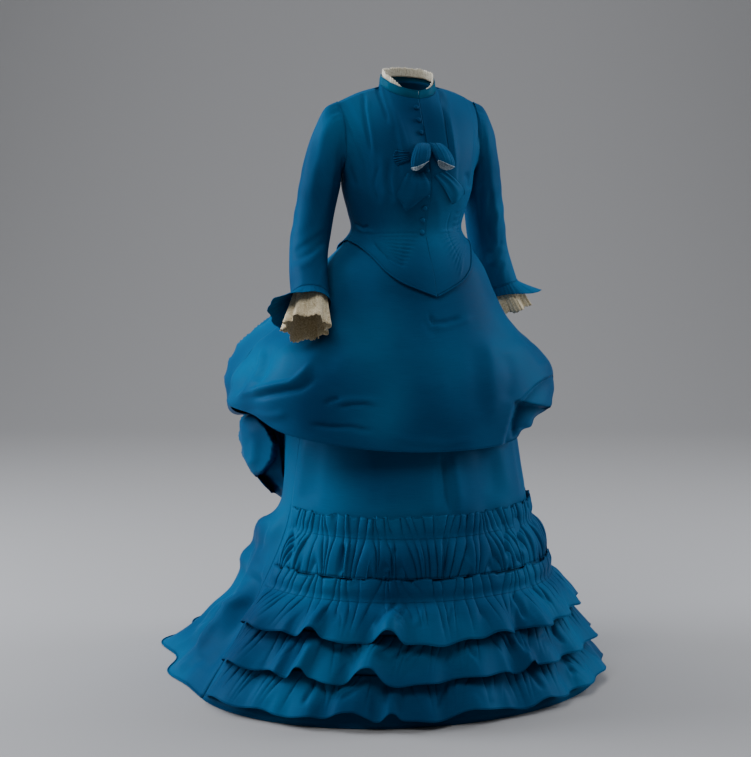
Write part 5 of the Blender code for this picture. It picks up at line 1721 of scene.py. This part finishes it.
# Studio
FLOOR_GAP = 0.0015
SWEEP_START = 3.6
SWEEP_RADIUS = 2.4
SWEEP_HALF_WIDTH = 12.0
SWEEP_STEPS = 24


def build_stage():
    """A pale floor that sweeps up behind the dress into a plain wall, square to the camera."""
    profile = [(-9.0, 0.0), (SWEEP_START, 0.0)]
    for k in range(1, SWEEP_STEPS + 1):
        angle = QUARTER * k / SWEEP_STEPS
        profile.append((SWEEP_START + SWEEP_RADIUS * math.sin(angle), SWEEP_RADIUS * (1 - math.cos(angle))))
    profile.append((SWEEP_START + SWEEP_RADIUS, 9.0))
    points = []
    for side in (-SWEEP_HALF_WIDTH, SWEEP_HALF_WIDTH):
        edge = RIGHTWARD * side - SKYWARD * FLOOR_GAP
        points += [edge + FLAT_AHEAD * ahead + SKYWARD * up for ahead, up in profile]
    count = len(profile)
    faces = [(k, count + k, count + k + 1, k + 1) for k in range(count - 1)]
    floor = bpy.data.objects.new("floor_sweep", mesh_of("floor_sweep", np.array(points), faces))
    bpy.context.scene.collection.objects.link(floor)
    floor.data.materials.append(studio_floor())


def softbox(name, place, target, size, watts, colour):
    """A rectangular studio lamp at a place over the floor, turned towards another."""
    light = bpy.data.lights.new(name, "AREA")
    light.shape = "RECTANGLE"
    light.size, light.size_y = size
    light.energy = watts
    light.color = linear(colour)[:3]
    lamp = bpy.data.objects.new(name, light)
    place = np.array(place, float)
    lamp.location = place - SKYWARD * WAIST_HEIGHT
    toward = Vector(np.array(target, float) - place)
    lamp.rotation_euler = toward.to_track_quat("-Z", "Y").to_euler()
    bpy.context.scene.collection.objects.link(lamp)


def from_camera(right, ahead, up):
    """A place given from the dress's middle, as seen from the camera."""
    return RIGHTWARD * right + FLAT_AHEAD * ahead + SKYWARD * up


def build_lights():
    """Two soft lamps beside the dress, one over the camera, and one that lights the wall behind."""
    middle = (0, 0, 0.8)
    softbox("left_softbox", from_camera(-3.0, 0.5, 2.0), middle, (1.5, 2.6), 140, "f4f8ff")
    softbox("right_softbox", from_camera(3.0, 0.8, 1.9), middle, (1.5, 2.6), 88, "f4f8ff")
    softbox("front_softbox", from_camera(-0.9, -2.6, 4.2), middle, (2.4, 1.8), 78, "ffffff")
    softbox("wall_softbox", from_camera(0.0, 1.6, 4.4), (0.6, 3.2, 0.4), (4.0, 1.4), 100, "ffffff")
    world = bpy.data.worlds.new("studio")
    bpy.context.scene.world = world
    world.use_nodes = True
    background = world.node_tree.nodes["Background"]
    background.inputs["Color"].default_value = linear("c4c6c8")
    background.inputs["Strength"].default_value = 0.22


build_stage()
build_lights()
